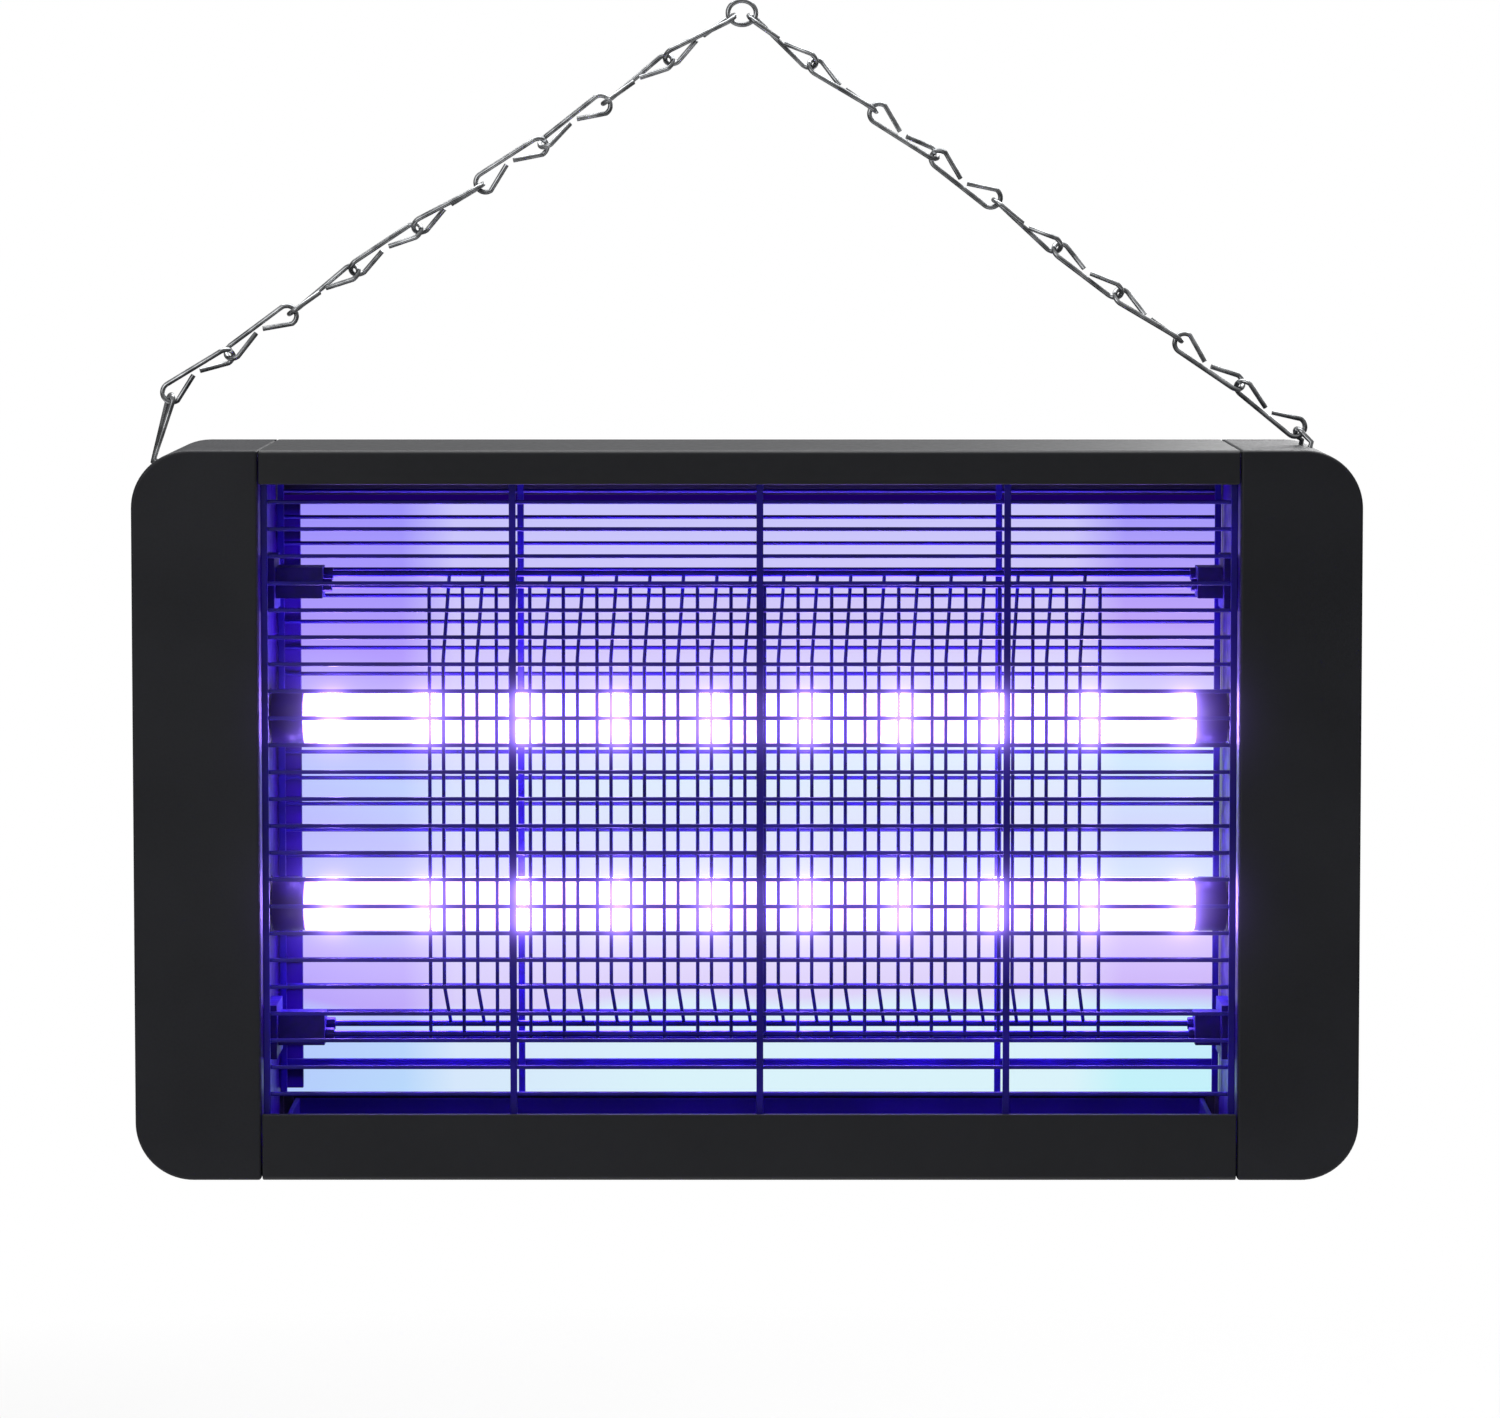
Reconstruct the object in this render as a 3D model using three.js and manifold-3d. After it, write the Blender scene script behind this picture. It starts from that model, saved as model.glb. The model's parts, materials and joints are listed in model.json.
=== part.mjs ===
// Hanging electric bug zapper: a flat housing 360 mm wide on a two-legged wire chain. Two LED tubes lure
// insects between two wire grilles and on to a high-voltage grid, and a tray below catches them.
// Millimetres, +Z up, front towards -Y. The origin is the top inside of the ring that hangs on a hook.
// Parts of the housing are drawn with x = 0 at its middle, y = 0 at half its depth and z = 0 at its base.

import * as THREE from 'three';
import { mergeVertices } from 'three/addons/utils/BufferGeometryUtils.js';
import Module from 'manifold-3d';

const wasm = await Module();
wasm.setup();

// Housing
const WIDTH = 360;
const HEIGHT = 215;
const DEPTH = 80;
const CORNER = 17;
const GAP = 0.3;
const SHELL_WALL = 2.4;
const SHEET = 1.6;
const COVER = 3.7;
const OPENING_LEFT = -143;
const OPENING_RIGHT = 144.3;
const OPENING_BOTTOM = 19.6;
const OPENING_TOP = 205;
const REAR_LIP_BOTTOM = 16.2;
const REAR_LIP_TOP = 197;
const EDGE_BEVEL = 0.8;
const FRONT = -DEPTH / 2;
const BACK = DEPTH / 2;
const SHELL_BACK = BACK - COVER - GAP;

// Grilles
const WIRE_COUNT = 23;
const WIRE_PITCH = 7.94;
const LOWEST_WIRE = 25;
const WIRE = 1.2;
const STILE = 2;
const STILES = [-68.7, 3.8, 76.3];
const GRILLE_Y = 35;
const REAR_SILL = 2.6;
const GRILLE_BOTTOM = 16;
const GRILLE_TOP = 212;

// High-voltage grid: straight wires in front, bent wires between them
const GRID_WIRES = 21;
const GRID_PITCH = 9.93;
const GRID_FIRST = -94.1;
const GRID_Y = -16;
const RETURN_Y = -10.5;
const GRID_WIRE = 1.1;
const ROD = 1.8;
const LIVE_RODS = [40.4, 174.1];
const RETURN_RODS = [42.8, 177.2];
const RETURN_OFFSET = 4.1;
const RETURN_LEAN = 1.7;
const RETURN_BENDS = [54.7, 151.9];
const LIVE_ROD_ENDS = [-130, 137];
const RETURN_ROD_ENDS = [-126.3, 135];
const LIVE_OVERHANG = 1.4;
const INSULATOR_ENDS = { left: [-125.5, -122.8], right: [133.1, 131.4] };

// Lamps: T5 size LED tubes
const LAMP_Y = 8;
const LAMP_HEIGHTS = { lower: 76.6, upper: 133 };
const TUBE_RADIUS = 8;
const TUBE_WALL = 0.8;
const CAP_LENGTH = 9.5;
const PIN_SPREAD = 4.75;
const PIN_RADIUS = 1.2;
const PIN_LENGTH = 6.8;
const LED_COUNT = 10;
const LED_PITCH = 28.4;
const LED_FIRST = -124.3;
const LED = 5;
const LED_BOARD_HEIGHT = 10;
const COLLAR_RADIUS = 8.4;
const PIN_CUP_RADIUS = 4.3;
const HOLDER_BACK = 14;

// Chain and hangers
const CHAIN_WIRE = 1.5;
const LINK_LENGTH = 24.5;
const BOW = 2.9;
const LINK_TURNS = [-45, 90, 60, 0, -45, -45, 90, 45, 0];
const LINKS_A_SIDE = LINK_TURNS.length;
const FIRST_BOW_TURN = 80;
const LINK_END_GAP = 1.2;
const RING_HALF_WIDTH = 4.15;
const RING_HALF_HEIGHT = 3.55;
const HANGER_WIRE = 1.6;
const HANGER_EYE = 2.1;
const HANGER_FOOT = 3.6;
const HANGER_DEPTH = 5.5;
const HANGER_HOOK = 1.8;
const HANGER_HOLE = 1.4;
const HANGER_TWIST = 25;
const APEX_HEIGHT = 345.8;
const HOUSING_X = 1.5;
const HANGER_Y = -0.5;
const HANGERS = {
  left: { x: -171.8, z: 227.8, lean: 76, reach: 18.5 },
  right: { x: 164.7, z: 217.9, lean: 121, reach: 3.4 },
};

const DEGREE = Math.PI / 180;

const satinBlack = () => paint('#232427', 0.5, 0);
const paintedSteel = () => paint('#232427', 0.45, 0.3);
const indigoSteel = () => paint('#1b1740', 0.5, 0.2);
const chainSteel = () => paint('#8b8d8f', 0.35, 1);
const gridSteel = () => paint('#6f7078', 0.4, 1);
const greyPlastic = () => paint('#3a3a44', 0.6, 0);
const whitePlastic = () => paint('#e8e8e4', 0.5, 0);
const lampDiffuser = () => paint('#e8ecff', 0.2, 0);

function paint(colour, roughness, metalness) {
  return new THREE.MeshStandardMaterial({ color: colour, roughness, metalness });
}

// A closed geometry as a solid that can be cut and joined, and back again.
function solid(geometry) {
  const bare = geometry.clone();
  bare.deleteAttribute('normal');
  bare.deleteAttribute('uv');
  const merged = mergeVertices(bare, 1e-4);
  const vertProperties = Float32Array.from(merged.attributes.position.array);
  const triVerts = Uint32Array.from(merged.index.array);
  return new wasm.Manifold(new wasm.Mesh({ numProp: 3, vertProperties, triVerts }));
}

function part(name, shape, material) {
  let geometry = shape;
  if (!shape.isBufferGeometry) {
    const { vertProperties, triVerts } = shape.getMesh();
    geometry = new THREE.BufferGeometry();
    geometry.setAttribute('position', new THREE.BufferAttribute(vertProperties, 3));
    geometry.setIndex(new THREE.BufferAttribute(triVerts, 1));
  }
  const mesh = new THREE.Mesh(geometry, material);
  mesh.name = name;
  return mesh;
}

function join(first, ...others) {
  return others.reduce((sum, other) => sum.add(other), first);
}

function cut(first, ...others) {
  return others.reduce((rest, other) => rest.subtract(other), first);
}

function block([x0, x1], [y0, y1], [z0, z1]) {
  const box = new THREE.BoxGeometry(x1 - x0, y1 - y0, z1 - z0);
  return solid(box.translate((x0 + x1) / 2, (y0 + y1) / 2, (z0 + z1) / 2));
}

// Round bars along X and Y, from one coordinate to another.
function rodX([x0, x1], y, z, radius, sides = 12) {
  const bar = new THREE.CylinderGeometry(radius, radius, x1 - x0, sides);
  return solid(bar.rotateZ(Math.PI / 2).translate((x0 + x1) / 2, y, z));
}

function rodY(x, [y0, y1], z, radius, sides = 12) {
  const bar = new THREE.CylinderGeometry(radius, radius, y1 - y0, sides);
  return solid(bar.translate(x, (y0 + y1) / 2, z));
}

// An outline in x and z carried from y0 to y1, and one in y and z carried from x0 to x1.
function slab(outline, [y0, y1], options = {}) {
  const shape = new THREE.ExtrudeGeometry(outline, { depth: y1 - y0, bevelEnabled: false, ...options });
  return solid(shape.rotateX(Math.PI / 2).translate(0, y1, 0));
}

function profileBar(points, [x0, x1]) {
  const outline = new THREE.Shape(points.map(([y, z]) => new THREE.Vector2(y, z)));
  const shape = new THREE.ExtrudeGeometry(outline, { depth: x1 - x0, bevelEnabled: false });
  return solid(shape.rotateX(Math.PI / 2).rotateZ(Math.PI / 2).translate(x0, 0, 0));
}

// A wire bent through a few corners: one ring of the section at each corner, square to the bend.
class WirePath extends THREE.Curve {
  constructor(corners) {
    super();
    this.corners = corners;
  }

  getUtoTmapping(u) {
    return u;
  }

  getPoint(t) {
    const place = t * (this.corners.length - 1);
    const from = Math.min(Math.floor(place), this.corners.length - 2);
    return this.corners[from].clone().lerp(this.corners[from + 1], place - from);
  }

  getTangent(t) {
    const last = this.corners.length - 1;
    const here = Math.round(t * last);
    const before = this.corners[Math.max(here - 1, 0)];
    const after = this.corners[Math.min(here + 1, last)];
    const inward = this.corners[here].clone().sub(before).normalize();
    const outward = after.clone().sub(this.corners[here]).normalize();
    return inward.add(outward).normalize();
  }
}

function wire(corners, diameter, sides = 6) {
  const section = new THREE.Shape();
  for (let side = 0; side < sides; side += 1) {
    const angle = (side / sides) * 2 * Math.PI;
    const place = [(Math.cos(angle) * diameter) / 2, (Math.sin(angle) * diameter) / 2];
    if (side === 0) section.moveTo(...place);
    else section.lineTo(...place);
  }
  const extrudePath = new WirePath(corners);
  return new THREE.ExtrudeGeometry(section, { steps: corners.length - 1, extrudePath });
}

function vector(x, y, z) {
  return new THREE.Vector3(x, y, z);
}

// ---- End shells: moulded boxes, open to the rear and towards the chamber ----

// The outline of one end, rounded at its two outer corners; side is -1 on the left and 1 on the right.
function endOutline(side, inset, innerEdge) {
  const outer = side * (WIDTH / 2 - inset);
  const bottom = inset;
  const top = HEIGHT - inset;
  const radius = CORNER - inset;
  const centre = outer - side * radius;
  const outline = new THREE.Shape();
  outline.moveTo(innerEdge, bottom);
  outline.lineTo(centre, bottom);
  outline.absarc(centre, bottom + radius, radius, -Math.PI / 2, side > 0 ? 0 : -Math.PI, side < 0);
  outline.absarc(centre, top - radius, radius, side > 0 ? 0 : Math.PI, Math.PI / 2, side < 0);
  outline.lineTo(innerEdge, top);
  return outline;
}

function innerEdgeOf(side) {
  return side < 0 ? OPENING_LEFT : OPENING_RIGHT;
}

const BOSS_X = 163;
const BOSS_Z = 108;
const BOSS_RADIUS = 4;
const PILOT_RADIUS = 1.5;
const SCREW_LENGTH = 12;
const SCREW_HEAD_RADIUS = 3.2;
const SCREW_HEAD_TOP = BACK + 2.2;
const SCREW_SLOT = 0.8;

function endShell(side) {
  const edge = innerEdgeOf(side);
  const beyond = edge - side * 10;
  const rounded = { bevelEnabled: true, bevelThickness: EDGE_BEVEL, bevelSize: EDGE_BEVEL, bevelSegments: 2 };
  const outer = slab(endOutline(side, EDGE_BEVEL, beyond), [FRONT + EDGE_BEVEL, BACK], {
    ...rounded,
    curveSegments: 8,
  });
  const hollow = slab(endOutline(side, SHELL_WALL, beyond), [FRONT + SHELL_WALL, BACK + 5], {
    curveSegments: 8,
  });
  const chamber = side < 0 ? [edge, edge + 40] : [edge - 40, edge];
  const boss = rodY(side * BOSS_X, [FRONT + SHELL_WALL / 2, SHELL_BACK], BOSS_Z, BOSS_RADIUS, 10);
  const open = cut(
    outer,
    hollow,
    block(chamber, [FRONT - 5, BACK + 5], [-5, HEIGHT + 5]),
    block([-WIDTH, WIDTH], [SHELL_BACK, BACK + 5], [-5, HEIGHT + 5]),
  );
  const pilot = rodY(side * BOSS_X, [SHELL_BACK - SCREW_LENGTH - 1, BACK], BOSS_Z, PILOT_RADIUS, 8);
  return cut(join(open, boss), pilot, ...hangerHoles(side));
}

// The flat rear cover of an end, with a screw hole and a row of vent slots.
const VENT_COUNT = 6;
const VENT_PITCH = 5;
const VENT_BOTTOM = 150;
const VENT_HEIGHT = 2;
const VENT_HALF_WIDTH = 9;

function endCover(side, cutouts = []) {
  const edge = innerEdgeOf(side);
  const plate = slab(endOutline(side, 0, edge), [SHELL_BACK + GAP, BACK], { curveSegments: 8 });
  const through = [SHELL_BACK - 1, BACK + 1];
  const holes = [rodY(side * BOSS_X, through, BOSS_Z, PILOT_RADIUS + 0.2, 8), ...cutouts];
  for (let vent = 0; vent < VENT_COUNT; vent += 1) {
    const z = VENT_BOTTOM + vent * VENT_PITCH;
    const slotX = [side * BOSS_X - VENT_HALF_WIDTH, side * BOSS_X + VENT_HALF_WIDTH];
    holes.push(block(slotX, through, [z, z + VENT_HEIGHT]));
  }
  return cut(plate, ...holes);
}

function coverScrew(side) {
  const x = side * BOSS_X;
  const shank = rodY(x, [SHELL_BACK - SCREW_LENGTH, BACK + 0.8], BOSS_Z, PILOT_RADIUS - GAP, 8);
  const head = rodY(x, [BACK + GAP, SCREW_HEAD_TOP], BOSS_Z, SCREW_HEAD_RADIUS, 12);
  const slotZ = [BOSS_Z - SCREW_SLOT / 2, BOSS_Z + SCREW_SLOT / 2];
  const slot = block([x - 4, x + 4], [SCREW_HEAD_TOP - SCREW_SLOT, BACK + 3], slotZ);
  return cut(join(shank, head), slot);
}

// ---- Top and bottom channels: bent steel sheet between the end shells ----

const CHANNEL_X = [OPENING_LEFT + GAP, OPENING_RIGHT - GAP];

function topChannel() {
  return profileBar([
    [FRONT, OPENING_TOP],
    [FRONT + SHEET, OPENING_TOP],
    [FRONT + SHEET, HEIGHT - SHEET],
    [BACK - SHEET, HEIGHT - SHEET],
    [BACK - SHEET, REAR_LIP_TOP],
    [BACK, REAR_LIP_TOP],
    [BACK, HEIGHT],
    [FRONT + EDGE_BEVEL, HEIGHT],
    [FRONT, HEIGHT - EDGE_BEVEL],
  ], CHANNEL_X);
}

const TRAY_X = [-138.6, 140];
const TRAY_FRONT = FRONT + 2;
const TRAY_TOP = 13.3;
const TRAY_WALL = 1.5;
const PULL_LIP_X = [-30, 30];
const PULL_LIP_Z = [8.5, 10.5];
const PULL_LIP_REACH = 4;

function bottomChannel() {
  const channel = profileBar([
    [FRONT, EDGE_BEVEL],
    [FRONT + EDGE_BEVEL, 0],
    [BACK, 0],
    [BACK, REAR_LIP_BOTTOM],
    [BACK - SHEET, REAR_LIP_BOTTOM],
    [BACK - SHEET, SHEET],
    [FRONT + SHEET, SHEET],
    [FRONT + SHEET, OPENING_BOTTOM],
    [FRONT, OPENING_BOTTOM],
  ], CHANNEL_X);
  const trayDoor = block([TRAY_X[0] - 0.4, TRAY_X[1] + 0.4], [BACK - 4, BACK + 1], [SHEET, TRAY_TOP + 0.4]);
  return cut(channel, trayDoor);
}

function collectionTray() {
  const [left, right] = TRAY_X;
  const bottom = SHEET + GAP;
  const outer = block(TRAY_X, [TRAY_FRONT, BACK], [bottom, TRAY_TOP]);
  const hollow = block(
    [left + TRAY_WALL, right - TRAY_WALL],
    [TRAY_FRONT + TRAY_WALL, BACK - TRAY_WALL],
    [bottom + TRAY_WALL, HEIGHT],
  );
  const pullLip = block(PULL_LIP_X, [BACK - TRAY_WALL, BACK + PULL_LIP_REACH], PULL_LIP_Z);
  return cut(join(outer, pullLip), hollow);
}

// ---- Bulkheads: the chamber's side walls, which carry the lamps and the grid ----

const BULKHEAD = 2.4;
const STEM_RADIUS = 2.6;
const FLANGE_EDGE = -135.6;
const FLANGE_Z = [17, 196];
const FLANGE = 1.2;
const GRID_HEIGHTS = { lower: 42, upper: 175 };
const STEM_Y = GRID_Y + 2;

function bulkhead(side) {
  const face = innerEdgeOf(side);
  const thick = side < 0 ? [face - BULKHEAD, face] : [face, face + BULKHEAD];
  const inside = SHELL_WALL + GAP;
  const plate = block(thick, [FRONT + inside, SHELL_BACK - GAP], [inside, HEIGHT - inside]);
  const through = [thick[0] - 1, thick[1] + 1];
  const holes = [
    ...Object.values(LAMP_HEIGHTS).map((z) => rodX(through, LAMP_Y, z, COLLAR_RADIUS + GAP, 16)),
    ...Object.values(GRID_HEIGHTS).map((z) => rodX(through, STEM_Y, z, STEM_RADIUS + GAP, 8)),
  ];
  const drilled = cut(plate, ...holes);
  if (side > 0) return drilled;
  // The left bulkhead also has a rear flange behind the ends of the rear grille.
  const flangeY = [SHELL_BACK - GAP - FLANGE, SHELL_BACK - GAP];
  const flange = block([face - 1, FLANGE_EDGE], flangeY, FLANGE_Z);
  return join(drilled, flange);
}

// ---- Grilles: level wires welded to flat stiles on their front ----

function grille(y, hasSill) {
  const [left, right] = [CHANNEL_X[0] + GAP, CHANNEL_X[1] - GAP];
  const wires = [];
  for (let index = 0; index < WIRE_COUNT; index += 1) {
    const z = LOWEST_WIRE + index * WIRE_PITCH;
    const half = index === 0 && hasSill ? REAR_SILL / 2 : WIRE / 2;
    wires.push(block([left + 0.5, right - 0.5], [y - WIRE / 2, y + WIRE / 2], [z - half, z + half]));
  }
  const stileY = y - WIRE + 0.1;
  const stiles = [left + STILE / 2, ...STILES, right - STILE / 2].map((x) => block(
    [x - STILE / 2, x + STILE / 2],
    [stileY - WIRE / 2, stileY + WIRE / 2],
    [GRILLE_BOTTOM, GRILLE_TOP],
  ));
  return join(...stiles, ...wires);
}

// ---- High-voltage grid: two combs of wires, each welded to an upper and a lower rod ----

function liveComb() {
  const rods = LIVE_RODS.map((z) => rodX(LIVE_ROD_ENDS, GRID_Y, z, ROD / 2, 6));
  const half = GRID_WIRE / 2;
  const wires = [];
  for (let index = 0; index < GRID_WIRES; index += 1) {
    const x = GRID_FIRST + index * GRID_PITCH;
    const ends = [LIVE_RODS[0] - LIVE_OVERHANG, LIVE_RODS[1] + half];
    wires.push(block([x - half, x + half], [GRID_Y - half, GRID_Y + half], ends));
  }
  return join(...rods, ...wires);
}

function returnComb() {
  const rods = RETURN_RODS.map((z) => rodX(RETURN_ROD_ENDS, RETURN_Y, z, ROD / 2, 6));
  const wires = [];
  for (let index = 0; index < GRID_WIRES - 1; index += 1) {
    const x = GRID_FIRST + RETURN_OFFSET + index * GRID_PITCH;
    wires.push(solid(wire([
      vector(x + RETURN_LEAN, RETURN_Y, RETURN_RODS[0]),
      vector(x, GRID_Y, RETURN_BENDS[0]),
      vector(x, GRID_Y, RETURN_BENDS[1]),
      vector(x + RETURN_LEAN, RETURN_Y, RETURN_RODS[1]),
    ], GRID_WIRE, 4)));
  }
  return join(...rods, ...wires);
}

// An insulator: a flanged block with a socket nose for each rod and a stem through the bulkhead.
const INSULATOR_Y = [-20, -7];
const INSULATOR_FLANGE_Y = [-26, -2];
const NOSE_RADIUS = 1.9;

function insulator(side, level, blockEnd, noseEnd) {
  const face = innerEdgeOf(side) - side * GAP;
  const middle = GRID_HEIGHTS[level];
  const rodSet = level === 'upper' ? 1 : 0;
  const span = (end) => (side < 0 ? [face, end] : [end, face]);
  const body = block(span(blockEnd), INSULATOR_Y, [middle - 4.6, middle + 4.6]);
  const flange = block(span(face - side * 3.5), INSULATOR_FLANGE_Y, [middle - 8, middle + 8]);
  const places = [
    [GRID_Y, LIVE_RODS[rodSet], LIVE_ROD_ENDS],
    [RETURN_Y, RETURN_RODS[rodSet], RETURN_ROD_ENDS],
  ];
  const noses = places.map(([y, z]) => rodX(span(noseEnd), y, z, NOSE_RADIUS, 8));
  const stemSpan = side < 0 ? [face - 7, face + 2] : [face - 2, face + 7];
  const stem = rodX(stemSpan, STEM_Y, middle, STEM_RADIUS, 8);
  const sockets = places.map(([y, z, [left, right]]) => (
    rodX([left - GAP, right + GAP], y, z, ROD / 2 + GAP, 8)
  ));
  return cut(join(body, flange, stem, ...noses), ...sockets);
}

// ---- Lamps: a diffuser tube round a strip of LEDs, a two-pin cap at each end ----

const LAMP_X = [OPENING_LEFT + 0.4, OPENING_RIGHT - 0.4];
const TUBE_X = [LAMP_X[0] + CAP_LENGTH + GAP, LAMP_X[1] - CAP_LENGTH - GAP];

function lampTube(z) {
  const bore = rodX([TUBE_X[0] - 1, TUBE_X[1] + 1], LAMP_Y, z, TUBE_RADIUS - TUBE_WALL, 20);
  return cut(rodX(TUBE_X, LAMP_Y, z, TUBE_RADIUS, 20), bore);
}

function ledStrip(z) {
  const front = LAMP_Y + 1.5;
  const boardZ = [z - LED_BOARD_HEIGHT / 2, z + LED_BOARD_HEIGHT / 2];
  const board = block([TUBE_X[0] + 1, TUBE_X[1] - 1], [front, front + 1], boardZ);
  const leds = [];
  for (let index = 0; index < LED_COUNT; index += 1) {
    const x = LED_FIRST + index * LED_PITCH;
    leds.push(block([x - LED / 2, x + LED / 2], [front - 1, front + 0.5], [z - LED / 2, z + LED / 2]));
  }
  return join(board, ...leds);
}

function lampCap(side, z) {
  const face = side < 0 ? LAMP_X[0] : LAMP_X[1];
  const reach = (from, to) => (side < 0 ? [face + from, face + to] : [face - to, face - from]);
  const body = rodX(reach(0, CAP_LENGTH), LAMP_Y, z, TUBE_RADIUS + 0.2, 20);
  const pins = [-1, 1].map((end) => (
    rodX(reach(-PIN_LENGTH, 1), LAMP_Y, z + (end * PIN_SPREAD) / 2, PIN_RADIUS, 8)
  ));
  return join(body, ...pins);
}

// A lamp holder behind the bulkhead: its round collar fills the bulkhead's hole and takes the pins.
function lampHolder(side, z) {
  const face = innerEdgeOf(side);
  const away = (from, to) => (side < 0 ? [face - to, face - from] : [face + from, face + to]);
  const body = block(away(BULKHEAD + GAP, HOLDER_BACK), [LAMP_Y - 9, LAMP_Y + 9], [z - 11, z + 11]);
  const collar = rodX(away(0.1, BULKHEAD + 1), LAMP_Y, z, COLLAR_RADIUS, 16);
  const cup = rodX(away(-1, PIN_LENGTH + 1), LAMP_Y, z, PIN_CUP_RADIUS, 12);
  return cut(join(body, collar), cup);
}

// ---- Electrics in the right-hand end ----

const BOARD_X = [163, 164.6];
const BOARD_Y = [-28, 20];
const OUTER_WALL = WIDTH / 2 - SHELL_WALL - GAP;

// A circuit board on four posts off the outer wall, with its large components on the outer side.
function circuitBoard([z0, z1], components) {
  const plate = block(BOARD_X, BOARD_Y, [z0, z1]);
  const posts = [];
  for (const y of [BOARD_Y[0] + 3, BOARD_Y[1] - 3]) {
    for (const z of [z0 + 3, z1 - 3]) {
      posts.push(rodX([BOARD_X[1] - 0.5, OUTER_WALL], y, z, 2, 6));
    }
  }
  return join(plate, ...posts, ...components);
}

// From just inside a board's outer face to a component's height above it.
function onBoard(height) {
  return [BOARD_X[1] - 0.5, BOARD_X[1] + height];
}

function highVoltageBoard() {
  const transformer = block(onBoard(11), [-20, -2], [24, 42]);
  const capacitors = [0, 1, 2, 3].map((index) => (
    block(onBoard(6), [3, 13], [24 + index * 14, 32 + index * 14])
  ));
  const coil = rodX(onBoard(9), -11, 62, 7, 10);
  return circuitBoard([14, 92], [transformer, ...capacitors, coil]);
}

function driverBoard() {
  const transformer = block(onBoard(11), [-20, -4], [150, 168]);
  const smoothing = rodX(onBoard(11), 8, 144, 5, 10);
  const choke = rodX(onBoard(8), 8, 172, 5, 10);
  return circuitBoard([124, 196], [transformer, smoothing, choke]);
}

const INLET = { x: 162, z: 32 };
const SWITCH = { x: 162, z: 62, y: 39 };
const RECESS_DEPTH = 11;
const BEZEL = 1.8;
const PLUG_BODY = { halfWidth: 10.5, halfHeight: 6.5 };
const SWITCH_BODY = { halfWidth: 7, halfHeight: 9.5 };

// A two-pin figure-eight inlet: a flange outside the cover and a recess with two pins.
function powerInlet() {
  const { x, z } = INLET;
  const { halfWidth, halfHeight } = PLUG_BODY;
  const flange = block([x - 13, x + 13], [BACK + GAP, BACK + BEZEL], [z - 9, z + 9]);
  const body = block(
    [x - halfWidth, x + halfWidth],
    [BACK - 15, BACK + 1],
    [z - halfHeight, z + halfHeight],
  );
  const recess = block([x - 8, x + 8], [BACK + BEZEL - RECESS_DEPTH, BACK + 5], [z - 4.2, z + 4.2]);
  const pins = [-4.3, 4.3].map((offset) => (
    rodY(x + offset, [BACK - RECESS_DEPTH, BACK - 1], z, 1.2, 8)
  ));
  return join(cut(join(flange, body), recess), ...pins);
}

// A rocker switch: a bezel and a well, and a rocker on two stub pins.
function switchBody() {
  const { x, y, z } = SWITCH;
  const { halfWidth, halfHeight } = SWITCH_BODY;
  const bezel = block([x - 9, x + 9], [BACK + GAP, BACK + BEZEL], [z - 11.5, z + 11.5]);
  const body = block(
    [x - halfWidth, x + halfWidth],
    [BACK - 15, BACK + 1],
    [z - halfHeight, z + halfHeight],
  );
  const well = block([x - 5.5, x + 5.5], [y - 5, BACK + 5], [z - 8.3, z + 8.3]);
  return cut(join(bezel, body), well, rodX([x - 6.5, x + 6.5], y, z, 1.3, 8));
}

const ROCKER_TILT = 9;

function switchRocker() {
  const { x, y, z } = SWITCH;
  const face = [[-3, -3.2], [0.5, -7.4], [3.2, -7.4], [2, 0], [3.2, 7.4], [0.5, 7.4], [-3, 3.2]];
  const tilt = ROCKER_TILT * DEGREE;
  const turned = face.map(([out, up]) => [
    y + out * Math.cos(tilt) - up * Math.sin(tilt),
    z + out * Math.sin(tilt) + up * Math.cos(tilt),
  ]);
  const pins = rodX([x - 6.2, x + 6.2], y, z, 1, 8);
  return join(profileBar(turned, [x - 5.2, x + 5.2]), pins);
}

// The holes in the right-hand cover that the inlet and the switch fit, with a little room all round.
function rightCutouts() {
  const room = GAP + 0.1;
  return [[INLET, PLUG_BODY], [SWITCH, SWITCH_BODY]].map(([{ x, z }, { halfWidth, halfHeight }]) => block(
    [x - halfWidth - room, x + halfWidth + room],
    [SHELL_BACK - 1, BACK + 1],
    [z - halfHeight - room, z + halfHeight + room],
  ));
}

const LEAD = 1.8;
const INSULATOR_BACK = OPENING_RIGHT + 7;
const LEAD_X = 155.5;

// Leads run from a board, round the lamp holders, to what they feed.
function liveLead() {
  const y = STEM_Y;
  const z = GRID_HEIGHTS.upper;
  return wire([
    vector(BOARD_X[0] - GAP, y, 84), vector(158, y, 85), vector(LEAD_X, y, 89),
    vector(LEAD_X, y, z - 5), vector(154.5, y, z - 1), vector(INSULATOR_BACK + GAP, y, z),
  ], LEAD);
}

function returnLead() {
  const y = STEM_Y;
  const z = GRID_HEIGHTS.lower;
  return wire([
    vector(BOARD_X[0] - GAP, y, 66), vector(158, y, 65), vector(LEAD_X, y, 61),
    vector(LEAD_X, y, z + 5), vector(154.5, y, z + 1), vector(INSULATOR_BACK + GAP, y, z),
  ], LEAD);
}

function lampLead() {
  return wire([
    vector(BOARD_X[0] - GAP, 19.5, 130), vector(160.8, 20, 129), vector(160.2, 20, 124),
    vector(157, 19, 118), vector(155, 16, 112), vector(155, 9.5, 100), vector(155, LAMP_Y, 88),
  ], LEAD);
}

// ---- Hangers: a bent wire eye whose two feet hook into holes in the shoulder of each end shell ----

const CORNER_X = WIDTH / 2 - CORNER;
const CORNER_Z = HEIGHT - CORNER;

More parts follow.
